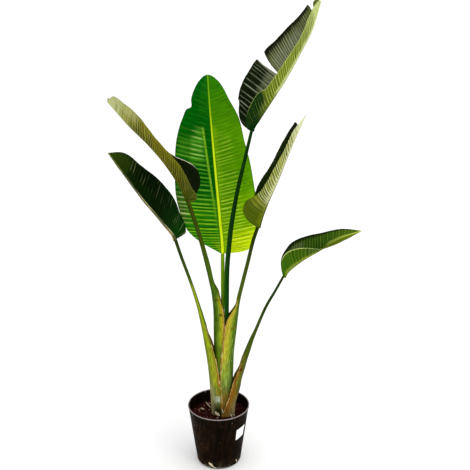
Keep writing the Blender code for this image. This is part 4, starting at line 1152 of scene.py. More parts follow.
def blade_piece(name, leaf, veins, look):
    """One blade as a closed sheet: the face, and a back set off by its thickness and its round midrib.

    The midrib's section is half an ellipse, and the sheet is thinner at its edge."""
    length = midrib_curve(leaf)[1][-1]
    rows = int(length / look.row_spacing)
    places = np.linspace(0.0, 1.0, look.columns) ** COLUMN_CROWDING
    roots = row_roots(leaf, veins, rows)
    halves = [half_blade(leaf, veins, side, roots, places, look) for side in (-1, 1)]
    joined = [np.concatenate([left[:, :0:-1], right], axis=1) for left, right in zip(*halves)]
    point, normal, where, shares, lines = joined
    middle = len(places) - 1
    normal[:, middle] = unit(normal[:, middle - 1] + normal[:, middle + 1])
    start = column(where[:, middle, 1] / length)
    section = np.sqrt(np.clip(1 - (where[..., 0] / rib_size(start, *RIB_WIDTH)) ** 2, 0, 1))
    thinning = 1 - EDGE_THINNING * smooth_step(*EDGE_SHARES, where[..., 2])
    depth = look.thickness * thinning + rib_size(start, *RIB_DEPTH) * section
    back = point - normal * depth[..., None]
    obj = quad_mesh(name, listed(point, back), sheet_faces(*point.shape[:2]))
    on_face = shares.copy()
    on_face[..., 2] = 1.0
    set_attribute(obj, "leaf_place", listed(where, where))
    set_attribute(obj, "leaf_share", listed(on_face, shares))
    set_attribute(obj, "leaf_lines", listed(lines, lines))
    return obj


# The patterns of the looks, by name. Noise: its scale and detail, and its roughness where that isn't a half.
NOISE = {
    "blade drift": (18.0, 3.0),
    "pleat sway": (0.8, 2.0),
    "blade fibres": (1.0, 2.0),
    "blade gloss": (80.0, 3.0),
    "ragged margin": (420.0, 3.0, 0.7),
    "stalk blotches": (30.0, 4.0, 0.6),
    "stalk sway": (300.0, 3.0, 0.6),
    "stalk fibres": (2600.0, 2.0),
    "pot clouds": (26.0, 4.0, 0.6),
    "pot grain": (900.0, 2.0),
    "soil relief": (500.0, 4.0, 0.7),
    "chip relief": (800.0, 3.0),
    "label grain": (1400.0, 2.0),
    "scrap fibres": (500.0, 3.0, 0.6),
}
# Patches: their noise, the window of it that they are spread from, and their least and most where those
# aren't 0 and 1.
PATCHES = {
    "uneven pleats": ((0.9, 3.0), (0.32, 0.62), (0.14, 1.0)),
    "pleats here and there": ((1.3, 2.0), (0.48, 0.66)),
    "blade mottle": ((60.0, 4.0, 0.6), (0.30, 0.70), (0.88, 1.12)),
    "brown margin": ((32.0, 3.0, 0.6), (0.40, 0.60), (0.08, 0.9)),
    "papery margin": ((50.0, 3.0, 0.6), (0.44, 0.56), (0.10, 1.0)),
    "stalk streaks": ((420.0, 4.0, 0.6), (0.50, 0.66)),
    "stalk fibres": ((700.0, 4.0, 0.6), (0.30, 0.70), (0.42, 1.18)),
    "stalk scars": ((70.0, 3.0, 0.7), (0.70, 0.78)),
    "pot cast": ((90.0, 3.0, 0.6), (0.35, 0.75)),
    "pot streaks": ((150.0, 3.0, 0.6), (0.46, 0.62)),
    "pot dust": ((120.0, 4.0, 0.7), (0.48, 0.70)),
    "foot highlight": ((60.0, 3.0), (0.35, 0.60)),
    "rim highlight": ((220.0, 4.0, 0.7), (0.30, 0.58), (0.45, 1.0)),
    "soil colours": ((110.0, 4.0, 0.65), (0.35, 0.70)),
    "chip shades": ((420.0, 3.0, 0.7), (0.30, 0.70), (0.6, 1.4)),
    "soiled label": ((160.0, 4.0, 0.65), (0.55, 0.80)),
}
# Ramps: where they start and end, and what they give there where that isn't 0 and 1.
RAMPS = {
    "off the midrib": (0.002, 0.010),
    "blade wash": (0.2, 0.5, 0.85, 1.0),
    "blade margin": (0.0042, 0.0018),
    "blade fibres": (0.30, 0.70, 0.84, 1.16),
    "pale line": (0.0052, 0.0010),
    "pale line's start": (0.10, 0.45, 0.10, 1.0),
    "pale line's end": (0.71, 0.69),
    "midrib's edge": (1.15, 0.65),
    "midrib shade's inner edge": (0.95, 1.20),
    "midrib shade's outer edge": (1.90, 1.40),
    "brown margin": (0.935, 1.030),
    "papery margin": (0.985, 1.040),
    "closed stalk": (0.0, 0.5),
    "pot streaks' height": (0.185, 0.165),
    "pot streaks' side": (-0.010, -0.055),
    "pot clouds": (0.45, 0.75, 0.0, 0.5),
    "pot dust": (0.045, 0.0),
    "foot highlight's lower edge": (0.0055, 0.0075),
    "foot highlight's upper edge": (0.0105, 0.0085),
    "rim highlight": (POT_HEIGHT - 0.0030, POT_HEIGHT - 0.0016),
    "near the rim": (POT_HEIGHT - 0.030, POT_HEIGHT - 0.006),
    "soil crumbs": (0.72, 0.95),
    "red chips": (0.0, 0.85),
    "pinkish chips": (0.93, 0.96),
    "pale chips": (0.982, 0.988),
    "scrap fibres": (0.35, 0.70),
}
# Specks: the scale of their cells, how rare they are and how wide.
SPECKS = {
    "blade": (110.0, (0.975, 0.985), (0.30, 0.16)),
    "pot": (150.0, (0.935, 0.945), (0.40, 0.25)),
}
# Stains: their colour, and their strength where that isn't all the way.
STAINS = {
    # The pale line is painted light at the edge of the centre leaf's lit patch.
    "pale line": ("#86c424", 0.85),
    "blade specks": ("#4a3208", 0.5),
    "brown margin": ("#9c681c",),
    "papery margin": ("#e0c080",),
    "inside the sheath": ("#8c7c38", 0.75),
    "stalk scars": ("#3c2408", 0.65),
    "pot cast": ("#1c1006",),
    "pot streaks": ("#3a2008", 0.55),
    "pot clouds": ("#070402",),
    "pot dust": ("#6a6048", 0.45),
    "foot highlight": ("#8a8476", 0.55),
    "rim highlight": ("#948a88",),
    "pot grit": ("#c8c0b4",),
    "soil crumbs": ("#4a2418", 0.55),
    "red chips": ("#4a1c18",),
    "pinkish chips": ("#8c6258",),
    "pale chips": ("#c8a898",),
    "soiled label": ("#b8b4a8", 0.25),
    "scrap fibres": ("#9a8c68",),
}
# Depth of the fine relief, in metres.
RELIEF = {"pot": 0.00012, "soil": 0.0016, "chips": 0.0004, "label": 0.00003, "scraps": 0.0003}
# What the coordinates of the noise are multiplied by: a blade's reach and half, or its reach and phase, a
# stalk's turn and height, and the pot's height.
FLAT_SPACE = (0.5, 3.0)
FIBRE_SPACE = (9.0, 7.0)
FINE_SPACE = (14.0, 7.0)
STALK_SPACE = (0.030, 0.05)
POT_STRETCH = 0.12
# Factors and sums of the looks: sways in turns, a line's place, strengths and changes of the roughness.
PLEAT_SWAY = 0.25
LIT_PATCH_EDGE_PLACE = (0.0300, 0.0065)
RIB_SHADE_STRENGTH = 0.45
MARGIN_RAGGEDNESS = 0.10
GRIT_BY_RIM = (0.70, 0.04)
CRUMB_SCALE = 420.0
CRUMB_HOLLOW = 0.5
BLADE_ROUGHNESS = (0.20, -0.10)
STALK_ROUGHNESS = (0.20, -0.08)
POT_ROUGHNESS = ((0.30, 0.70), (-0.08, 0.14))


def blade_fields(skin):
    """The masks and patterns that a blade's coats are laid with.

    Patterns that follow the pleats are powers of a wave of their phase, and each pleat has its own
    strength, from noise stretched along it."""
    reach, _, across = skin.attribute("leaf_place")
    root, right, face = skin.attribute("leaf_share")
    phase, margin, _ = skin.attribute("leaf_lines")
    left, back = skin.math("SUBTRACT", 1.0, right), skin.math("SUBTRACT", 1.0, face)
    flat = skin.join(skin.product(reach, FLAT_SPACE[0]), root, skin.product(right, FLAT_SPACE[1]))
    fibres = skin.join(skin.product(reach, FIBRE_SPACE[0]), phase, skin.product(right, FIBRE_SPACE[1]))
    fine = skin.join(skin.product(reach, FINE_SPACE[0]), skin.product(phase, FINE_SPACE[1]))
    drift = skin.noise(flat, *NOISE["blade drift"])
    turn = skin.scaled(skin.noise(fibres, *NOISE["pleat sway"]), PLEAT_SWAY, phase)
    off_rib = skin.spread(reach, *RAMPS["off the midrib"])
    broken = {
        "uneven": skin.patches(fibres, *PATCHES["uneven pleats"]),
        "here and there": skin.patches(fibres, *PATCHES["pleats here and there"]),
    }
    fields = {
        "reach": reach, "root": root, "face": face, "flat": flat,
        "fine": skin.noise(fine, *NOISE["blade fibres"]),
        "along": skin.swayed(root, drift, BLADE_SWAY[0]), "out": skin.swayed(across, drift, BLADE_SWAY[1]),
        "face left": skin.product(face, left), "face right": skin.product(face, right),
        "back left": skin.product(back, left), "back right": skin.product(back, right),
        "wash": skin.spread(drift, *RAMPS["blade wash"]),
        "margin": skin.spread(margin, *RAMPS["blade margin"]),
    }
    for pattern, (power, shift, gaps) in PLEAT_PATTERNS.items():
        tops = skin.math("POWER", skin.wave(turn, shift), power)
        fields[pattern] = skin.product(tops, broken[gaps], off_rib)
    return fields


def blade_tones(skin, tones, fields):
    """Tones of the four surfaces, each drawn from its base through its middle to its tip."""
    tissue = (0.0, 0.0, 0.0)
    for surface in ("face left", "face right", "back left", "back right"):
        own = tones[surface] if surface in tones else tones[surface[:4]]
        base, middle, tip = map(linear, own)
        shade = skin.mix(skin.spread(fields["along"], *TONE_SHARES[0]), base, middle)
        shade = skin.mix(skin.spread(fields["along"], *TONE_SHARES[1]), shade, tip)
        tissue = skin.mix(fields[surface], tissue, shade)
    return tissue


def lit_patch_edge(skin, tissue, fields):
    """Painted light: a pale line beside the centre leaf's midrib at the edge of its lit patch, closer to it
    towards the base.
    """
    root = fields["root"]
    aside = skin.math("SUBTRACT", fields["reach"], skin.scaled(root, *LIT_PATCH_EDGE_PLACE))
    aside = skin.spread(skin.math("ABSOLUTE", aside), *RAMPS["pale line"])
    along = skin.product(skin.spread(root, *RAMPS["pale line's start"]),
                         skin.spread(root, *RAMPS["pale line's end"]))
    return skin.stain(tissue, "pale line", aside, along, fields["face left"])


def blade_rib(skin, tissue, tones, fields, base_width):
    """The pale midrib, narrower towards the tip, with a thin shade along both its sides on the face."""
    root, face = fields["root"], fields["face"]
    width = skin.spread(root, 0.0, 1.0, base_width, base_width * RIB_NARROWING)
    ratio = skin.math("DIVIDE", fields["reach"], width)
    on_back, on_face = (skin.mix(skin.spread(root, *RIB_TONE_SHARES), *map(linear, tones[side]))
                        for side in ("rib back", "rib"))
    tissue = skin.mix(skin.spread(ratio, *RAMPS["midrib's edge"]), tissue, skin.mix(face, on_back, on_face))
    beside = skin.product(skin.spread(ratio, *RAMPS["midrib shade's inner edge"]),
                          skin.spread(ratio, *RAMPS["midrib shade's outer edge"]))
    return skin.coat(tissue, skin.product(beside, face, RIB_SHADE_STRENGTH), tones["rib shade"])


def blade_finish(name, look):
    """Leaf tissue: tones and coats, fine fibres, a pale midrib, specks and a share of light let through."""
    tones = TONES[name]
    skin = Finish(name + "_tissue", roughness=look.roughness, specular=look.gloss)
    fields = blade_fields(skin)
    flat, fine = fields["flat"], fields["fine"]
    tissue = blade_tones(skin, tones, fields)
    for surface, rows in COATS[name].items():
        mask = fields[surface]
        tissue = skin.coats(tissue, rows, fields["along"], fields["out"], BLADE_SOFTNESS, fields, mask)
    # Painted light along the edge of the centre leaf's lit patch.
    if name == "leaf_centre":
        tissue = lit_patch_edge(skin, tissue, fields)
    streak = skin.spread(fine, *RAMPS["blade fibres"])
    mottle = skin.patches(flat, *PATCHES["blade mottle"])
    tissue = skin.shaded(tissue, skin.product(streak, mottle))
    tissue = blade_rib(skin, tissue, tones, fields, look.rib_width * tones["rib share"])
    tissue = skin.stain(tissue, "blade specks", skin.specks(flat, *SPECKS["blade"]))
    skin.colour(tissue)
    factor, change = BLADE_ROUGHNESS
    skin.rough(skin.scaled(skin.noise(flat, *NOISE["blade gloss"]), factor, look.roughness + change))
    skin.glow(tones["glow"], tissue, skin.bump(fine, look.vein_depth))
    return skin.material


def stalk_rings(leaf, count, arc):
    """Rings of a stalk: a half ellipse of the wrap angle outside, and inside it the sheath's thin wall,
    which closes into a grooved solid as the fill grows. Rows run upwards and columns round the ring."""
    table = leaf["stalk"]
    heights = np.linspace(table[0][0], table[-1][0], count)
    back, edge, middle, depth, wrap, fill = smooth_table(heights, table).T
    wrap = np.radians(wrap)
    centres = np.stack([(back + edge) / 2, middle, heights], axis=1)
    along = unit(np.gradient(centres, axis=0))
    along[-1] = stalk_slope(leaf)
    axis = unit(UP * column(1 - fill) + along * column(fill))
    outward = np.array([np.sign(table[0][1] - table[0][2]), 0.0, 0.0])
    across = unit(outward - axis * (axis @ outward)[:, None])
    sideways = np.cross(axis, across)
    width = np.abs(back - edge)
    span = 1 - np.cos(wrap)
    turn = np.linspace(-1, 1, arc)
    outer_turn = column(wrap) * turn
    inner_turn = column(wrap) * turn[::-1] * INNER_WRAP
    frill = column(1 - fill) * FRILL_HEIGHT * np.abs(turn) ** FRILL_POWER
    frill = frill * sum(share * np.sin(column(heights) * rate + shift) for share, rate, shift in FRILL_SINES)
    outer_x = column(width / 2) - column(width) * (1 - np.cos(outer_turn)) / column(span) + frill
    outer_y = column(depth) * np.sin(outer_turn)
    shell_x = column(width / 2 - WALL_AT_BACK) + frill[:, ::-1]
    shell_x = shell_x - column(width - WALL_AT_BACK) * (1 - np.cos(inner_turn)) / column(span)
    shell_y = column(depth - WALL_AT_EDGE) * np.sin(inner_turn)
    solid_x = column(GROOVE_DEPTH * width) * np.cos(turn[::-1] * math.pi / 2) - column(width / 2)
    solid_y = column(depth * np.sin(wrap)) * turn[::-1] * GROOVE_WIDTH
    inner_x = shell_x + (solid_x - shell_x) * column(fill)
    inner_y = shell_y + (solid_y - shell_y) * column(fill)
    ring_x = np.concatenate([outer_x, inner_x], axis=1)[:, :, None]
    ring_y = np.concatenate([outer_y, inner_y], axis=1)[:, :, None]
    rings = centres[:, None, :] + ring_x * across[:, None, :] + ring_y * sideways[:, None, :]
    turns = np.concatenate([turn, turn[::-1]])
    inside = np.repeat([0.0, 1.0], arc)
    place = np.stack(np.broadcast_arrays(turns[None, :], column(heights), inside[None, :]), axis=-1)
    return rings + UP * LEAF_LEVEL, place, np.broadcast_to(column(fill), ring_x.shape[:2])


def stalk_piece(name, leaf, look):
    """One stalk, its rings joined into a closed tube with both ends filled by strips."""
    low, high = leaf["stalk"][0][0], leaf["stalk"][-1][0]
    count = int((high - low) / look.ring_spacing)
    rings, place, fill = stalk_rings(leaf, count, look.arc_points)
    half = look.arc_points
    index, body = tube_faces(count, 2 * half)
    top = strip_faces(index[-1, :half], index[-1, :half - 1:-1])
    bottom = strip_faces(index[0, :half - 1:-1], index[0, :half])
    obj = quad_mesh(name, rings, np.concatenate([body.reshape(-1, 4), top, bottom]))
    set_attribute(obj, "stalk_place", place)
    set_attribute(obj, "stalk_state", np.stack([fill, np.zeros_like(fill), np.zeros_like(fill)], axis=-1))
    return face_out(obj)


def stalk_margins(skin, tissue, where, turn, long, sheath):
    """A warm brown margin on the sheath and a papery line outside it, both ragged and in patches."""
    ragged = skin.noise(long, *NOISE["ragged margin"])
    edge = skin.scaled(ragged, MARGIN_RAGGEDNESS, skin.math("ABSOLUTE", turn))
    for name in ("brown margin", "papery margin"):
        margin, patchy = skin.spread(edge, *RAMPS[name]), skin.patches(where, *PATCHES[name])
        tissue = skin.stain(tissue, name, margin, sheath, patchy)
    return tissue


def stalk_finish(name, look):
    """Stalk skin: green that changes upwards, coats of blush and streaks, long fibres and papery margins."""
    skin = Finish(name + "_skin", roughness=look.roughness, specular=look.gloss)
    turn, height, inside = skin.attribute("stalk_place")
    fill = skin.attribute("stalk_state")[0]
    where = skin.place()
    long = skin.join(skin.product(turn, STALK_SPACE[0]), skin.product(height, STALK_SPACE[1]))
    blotch = skin.noise(where, *NOISE["stalk blotches"])
    level = skin.swayed(height, blotch, STALK_SWAY[0])
    tissue = linear(STALK_COLOURS[name][0])
    for low, high, code in zip(STALK_HEIGHTS, STALK_HEIGHTS[1:], STALK_COLOURS[name][1:]):
        tissue = skin.coat(tissue, skin.spread(level, low, high), code)
    across = skin.product(turn, skin.math("ABSOLUTE", turn), FRONT_TURN[name])
    aside = skin.swayed(across, skin.noise(long, *NOISE["stalk sway"]), STALK_SWAY[1])
    patterns = {"wash": 1.0, "streak": skin.patches(long, *PATCHES["stalk streaks"])}
    tissue = skin.coats(tissue, STALK_COATS[name], level, aside, STALK_SOFTNESS, patterns)
    tissue = skin.shaded(tissue, skin.patches(long, *PATCHES["stalk fibres"]))
    sheath = skin.math("SUBTRACT", 1.0, skin.spread(fill, *RAMPS["closed stalk"]))
    tissue = stalk_margins(skin, tissue, where, turn, long, sheath)
    tissue = skin.stain(tissue, "inside the sheath", inside, sheath)
    skin.colour(skin.stain(tissue, "stalk scars", skin.patches(where, *PATCHES["stalk scars"])))
    factor, change = STALK_ROUGHNESS
    skin.rough(skin.scaled(blotch, factor, look.roughness + change))
    skin.bump(skin.noise(long, *NOISE["stalk fibres"]), look.fibre_depth)
    return skin.material


def wall_radius(height):
    """Outer radius of the pot's wall at a height."""
    return BASE_RADIUS + (RIM_RADIUS - BEAD_OUT - BASE_RADIUS) * height / POT_HEIGHT


def side_section(floor, inset):
    """One side of the wall up to the slots' top: its rows below the slots and its rows beside them.

    A quarter circle rises from the floor's height to the wall, which lies inset inside the outer side."""
    size = CORNER - inset
    centre = wall_radius(CORNER) - inset - size
    turn = np.linspace(math.pi / 2, 0, CORNER_STEPS)
    arc = np.stack([centre + size * np.cos(turn), floor + size - size * np.sin(turn)], axis=1)
    levels = np.linspace(SLOT_LOW, SLOT_HIGH, SLOT_ROWS)
    radius = np.interp(levels, arc[:, 1], arc[:, 0])
    radius = np.where(levels > floor + size, wall_radius(levels) - inset, radius)
    return arc[arc[:, 1] < SLOT_LOW - SLOT_CLEARANCE], np.stack([radius, levels], axis=1)


def flat_section(start, end, height):
    """A level run of rows from one radius to another."""
    return np.stack([np.linspace(start, end, FLOOR_STEPS), np.full(FLOOR_STEPS, height)], axis=1)


def pot_profile():
    """Closed section of the pot from the middle of its underside, up its outside and down its inside.

    Also gives the numbers of the rows at the slots' lower and upper edges, outside and inside."""
    out_low, out_slot = side_section(0.0, 0.0)
    in_low, in_slot = side_section(FLOOR_THICKNESS, WALL)
    base = flat_section(0.0, out_low[0, 0], 0.0)[:-1]
    floor = flat_section(in_low[0, 0], 0.0, FLOOR_THICKNESS)[1:]
    heights = np.linspace(SLOT_HIGH, POT_HEIGHT - BEAD_HEIGHT, WALL_STEPS)[1:]
    wall_out = np.stack([wall_radius(heights), heights], axis=1)
    wall_in = np.stack([wall_radius(heights) - WALL, heights], axis=1)[::-1]
    turn = np.linspace(-math.pi / 2, math.pi / 2, BEAD_STEPS)
    half = BEAD_HEIGHT / 2 - BEAD_TRIM
    roll = np.stack([RIM_RADIUS - BEAD_ROUND + BEAD_ROUND * np.cos(turn),
                     np.minimum(POT_HEIGHT - half - BEAD_DROP + half * np.sin(turn), POT_HEIGHT)], axis=1)
    top = wall_radius(POT_HEIGHT)
    lip = np.array([(top - WALL * LIP_SHARE, POT_HEIGHT), (top - WALL, POT_HEIGHT - BEAD_TRIM)])
    parts = [base, out_low, out_slot, wall_out, roll, lip, wall_in, in_slot[::-1], in_low[::-1], floor]
    ends = np.cumsum([len(part) for part in parts])
    return np.concatenate(parts), (ends[1], ends[2] - 1), (ends[6], ends[7] - 1)


def pot_piece(name, look):
    """The pot: its section turned about the axis, with windows left open at the drain slots.

    The turn is an even angle, and a face is left out where its angle and its level both lie in a slot;
    four strips then join the window's outer edge to its inner edge."""
    profile, out_rows, in_rows = pot_profile()
    points = lathe(profile[:, 0], profile[:, 1:], look.sides)
    index, quads = tube_faces(len(profile), look.sides)
    outer = index[out_rows[0]:out_rows[1] + 1]
    inner = index[in_rows[0]:in_rows[1] + 1][::-1]
    keep = np.ones(quads.shape[:2], bool)
    half = int(round(SLOT_WIDTH / 2 / wall_radius(SLOT_LOW) / FULL_TURN * look.sides))
    strips = []
    for number in range(SLOT_COUNT):
        middle = int(round((SLOT_FIRST_ANGLE / FULL_TURN + number / SLOT_COUNT) * look.sides))
        turn = (np.arange(middle - half, middle + half + 1)) % look.sides
        for first, last in (out_rows, in_rows):
            keep[first:last, turn[:-1]] = False
        strips += [strip_faces(outer[0, turn], inner[0, turn]), strip_faces(inner[-1, turn], outer[-1, turn]),
                   strip_faces(inner[:, turn[0]], outer[:, turn[0]]),
                   strip_faces(outer[:, turn[-1]], inner[:, turn[-1]])]
    return face_out(quad_mesh(name, points, np.concatenate([quads[keep]] + strips)), merge_poles=True)


def pot_finish(look):
    """Black moulded plastic: a brown cast, fine grain, dust at its foot, painted highlights on its foot and
    pale rim.
    """
    skin = Finish("pot_plastic", roughness=look.roughness, specular=0.01)
    where = skin.place()
    x, y, z = skin.split(where)
    long = skin.join(x, y, skin.product(z, POT_STRETCH))
    cloud = skin.noise(where, *NOISE["pot clouds"])
    body = skin.stain(tuple(look.colour), "pot cast", skin.patches(long, *PATCHES["pot cast"]))
    body = skin.stain(body, "pot streaks", skin.spread(z, *RAMPS["pot streaks' height"]),
                      skin.spread(x, *RAMPS["pot streaks' side"]),
                      skin.patches(long, *PATCHES["pot streaks"]))
    body = skin.stain(body, "pot clouds", skin.spread(cloud, *RAMPS["pot clouds"]))
    body = skin.stain(body, "pot dust", skin.spread(z, *RAMPS["pot dust"]),
                      skin.patches(where, *PATCHES["pot dust"]))
    # Painted highlight: a faint pale ring round the rounded corner of the foot.
    body = skin.stain(body, "foot highlight", skin.spread(z, *RAMPS["foot highlight's lower edge"]),
                      skin.spread(z, *RAMPS["foot highlight's upper edge"]),
                      skin.patches(where, *PATCHES["foot highlight"]))
    # Painted highlight: a pale line along the top of the rim, in patches.
    body = skin.stain(body, "rim highlight", skin.spread(z, *RAMPS["rim highlight"]),
                      skin.patches(where, *PATCHES["rim highlight"]))
    near_rim = skin.spread(z, *RAMPS["near the rim"])
    grit = skin.specks(where, *SPECKS["pot"])
    skin.colour(skin.stain(body, "pot grit", grit, skin.scaled(near_rim, *GRIT_BY_RIM)))
    window, (less, more) = POT_ROUGHNESS
    skin.rough(skin.spread(cloud, *window, look.roughness + less, look.roughness + more))
    skin.bump(skin.noise(where, *NOISE["pot grain"]), RELIEF["pot"])
    return skin.material


def soil_height(x, y):
    """Height of the soil: a low mound about the stalks with clods of three sizes on it."""
    inside = wall_radius(SOIL_HIGH[2]) - WALL
    mound = SOIL_HIGH[2] - MOUND_DROP - MOUND_DROP * (np.hypot(x, y) / inside) ** 2
    clods, crumbs, grains = (height * ripple_noise(seed, x * rate, y * rate)
                             for seed, rate, height in SOIL_BUMPS)
    return mound + (clods + crumbs) + grains


def soil_piece(name):
    """The soil: a polar grid whose height is the mound and its clods, on a drum that fills the pot."""
    inside = wall_radius(SOIL_HIGH[2]) - WALL - SOIL_GAP
    top = lathe(np.linspace(0.0, inside, SOIL_RINGS), 0.0, SOIL_SIDES)
    top[..., 2] = np.minimum(soil_height(top[..., 0], top[..., 1]), SOIL_HIGH[2])
    shoulder = wall_radius(DRUM_WIDTH_LEVEL) - WALL - SOIL_GAP
    foot = wall_radius(CORNER) - WALL - CORNER * DRUM_ROUNDING
    heights = column([DRUM_SHOULDER, DRUM_FOOT, DRUM_FOOT])
    points = np.concatenate([top, lathe([shoulder, foot, 0.0], heights, SOIL_SIDES)])
    quads = tube_faces(len(points), SOIL_SIDES)[1][..., (0, 3, 2, 1)]
    return face_out(quad_mesh(name, points, quads), merge_poles=True)


def soil_finish(look):
    """Dark red-brown potting mix with lighter crumbs."""
    skin = Finish("soil_mix", roughness=0.92, specular=0.01)
    where = skin.place()
    crumb, middle = skin.cells(where, CRUMB_SCALE)
    body = skin.mix(skin.patches(where, *PATCHES["soil colours"]), linear("#0c0403"),
                    tuple(look.colour))
    skin.colour(skin.stain(body, "soil crumbs", skin.spread(crumb, *RAMPS["soil crumbs"])))
    hollow = skin.product(middle, CRUMB_HOLLOW)
    relief = skin.math("SUBTRACT", skin.noise(where, *NOISE["soil relief"]), hollow)
    skin.bump(relief, RELIEF["soil"])
    return skin.material


def flake_shapes(count, length, width, thick, draw):
    """Bark flakes: six-sided prisms of five rings, thinner at their ends and roughened at random."""
    turn = np.arange(FLAKE_SIDES) * 2 * math.pi / FLAKE_SIDES
    along = np.linspace(-0.5, 0.5, FLAKE_RINGS)
    swell = np.sqrt(np.clip(1 - (2 * along) ** 2 * FLAKE_TAPER, 0.0, 1.0))
    grid = (count, FLAKE_RINGS, FLAKE_SIDES)
    rough = draw.uniform(*FLAKE_ROUGHNESS, grid)
    long = along[None, :, None] * length[:, None, None] * draw.uniform(*FLAKE_UNEVENNESS, grid)
    wide = np.cos(turn) * swell[None, :, None] * rough * width[:, None, None] / 2
    high = np.sin(turn) * swell[None, :, None] * rough * thick[:, None, None] / 2
    return long, wide, high


def flake_quads(count):
    """Quads of every flake, with both ends closed."""
    index, body = tube_faces(FLAKE_RINGS, FLAKE_SIDES)
    low, high = index[0], index[-1]
    caps = np.array([low[[3, 2, 1, 0]], low[[5, 4, 3, 0]], high[[0, 1, 2, 3]], high[[0, 3, 4, 5]]])
    quads = np.concatenate([body.reshape(-1, 4), caps])
    return quads[None] + (np.arange(count) * FLAKE_RINGS * FLAKE_SIDES)[:, None, None]


def turned_pair(first, second, angle):
    """Two coordinates of every flake's points turned by the flake's own angle."""
    c, s = np.cos(angle)[:, None, None], np.sin(angle)[:, None, None]
    return first * c - second * s, first * s + second * c


def chips_piece(name, look):
    """Bark chips and fibres scattered over the soil with a fixed seed, clear of the stalks.

    Each flake is tipped about its width, turned to a heading and set down on the soil."""
    draw = np.random.default_rng(FLAKE_SEED)
    reach = wall_radius(SOIL_HIGH[2]) - WALL - FLAKE_CLEARANCE
    radius = np.sqrt(draw.uniform(0.0, 1.0, look.chips)) * reach
    angle = draw.uniform(0, FULL_TURN, look.chips)
    x, y = radius * np.cos(angle), radius * np.sin(angle)
    free = ((x - STALK_OVAL_MIDDLE) / STALK_OVAL_HALVES[0]) ** 2 + (y / STALK_OVAL_HALVES[1]) ** 2 > 1.0
    x, y = x[free], y[free]
    count = len(x)
    size = draw.lognormal(0.0, FLAKE_SIZE_SPREAD, count)
    fibre = draw.uniform(0, 1, count) > CHIP_SHARE
    length, width, thick = (np.where(fibre, long, short) for long, short in zip(FIBRE_SIZE, CHIP_SIZE))
    length = np.clip(length * size, *FLAKE_LENGTHS)
    width = width * np.clip(size, *FLAKE_WIDENING)
    thick = thick * np.clip(size, *FLAKE_THICKENING)
    long, wide, high = flake_shapes(count, length, width, thick, draw)
    heading = draw.uniform(0, FULL_TURN, count)
    long, high = turned_pair(long, high, draw.normal(0, FLAKE_TILT, count))
    east, north = turned_pair(long, wide, heading)
    east, north = east + x[:, None, None], north + y[:, None, None]
    high = np.minimum(high + (soil_height(x, y) + thick * FLAKE_SINK)[:, None, None], FLAKE_TOP)
    obj = quad_mesh(name, np.stack([east, north, high], axis=-1), flake_quads(count))
    tone = np.broadcast_to(draw.uniform(0, 1, count)[:, None, None], high.shape)
    set_attribute(obj, "chip_tone", np.stack([tone, tone, tone], axis=-1))
    return face_out(obj)


def chips_finish():
    """Bark in shades from near black to red-brown, each chip of its own shade, a few pale and pinkish."""
    skin = Finish("bark_chips", roughness=0.75, specular=0.03)
    tone = skin.attribute("chip_tone")[0]
    where = skin.place()
    body = linear("#0e0504")
    for name in ("red chips", "pinkish chips", "pale chips"):
        body = skin.stain(body, name, skin.spread(tone, *RAMPS[name]))
    skin.colour(skin.shaded(body, skin.patches(where, *PATCHES["chip shades"])))
    skin.bump(skin.noise(where, *NOISE["chip relief"]), RELIEF["chips"])
    return skin.material


def label_piece(name):
    """The blank label: a sheet bent round the wall, its corners rounded and one corner lifted a little.

    Across is an angle about the pot's axis, up is a height, and the sheet leans with the angle."""
    half_turn = LABEL_WIDTH / 2 / wall_radius(LABEL_LOW[2])
    across, up = np.meshgrid(np.linspace(-1, 1, LABEL_COLUMNS), np.linspace(-1, 1, LABEL_ROWS))
    past = np.clip(np.abs(up) - (1 - LABEL_CORNER), 0, LABEL_CORNER) / LABEL_CORNER
    inset = LABEL_CORNER * (1 - np.sqrt(np.clip(1 - past**2, 0, 1)))
    across = across * (1 - inset)
    angle = LABEL_ANGLE + across * half_turn
    middle = (LABEL_LOW[2] + LABEL_HIGH[2]) / 2
    height = middle + up * LABEL_TALL / 2 + LABEL_SLANT * across / 2
    ripple = ripple_noise(LABEL_RIPPLE_SEED, across * LABEL_RIPPLE_RATE, up * LABEL_RIPPLE_RATE)
    lift = LABEL_LIFT * smooth_step(*LABEL_LIFT_RANGE, across + up) + LABEL_RIPPLE * ripple
    rear = wall_radius(height) + LABEL_GAP + np.clip(lift, 0, None)
    sides = [np.stack([radius * np.cos(angle), radius * np.sin(angle), height], axis=-1)
             for radius in (rear + LABEL_THICKNESS, rear)]
    return face_out(quad_mesh(name, listed(*sides), sheet_faces(LABEL_ROWS, LABEL_COLUMNS)))


def label_finish():
    """Blank white label paper, a little soiled in patches."""
    skin = Finish("label_paper", roughness=0.45, specular=0.4)
    where = skin.place()
    soiled = skin.patches(where, *PATCHES["soiled label"])
    skin.colour(skin.stain(linear("#f4f4f0"), "soiled label", soiled))
    skin.bump(skin.noise(where, *NOISE["label grain"]), RELIEF["label"])
    return skin.material


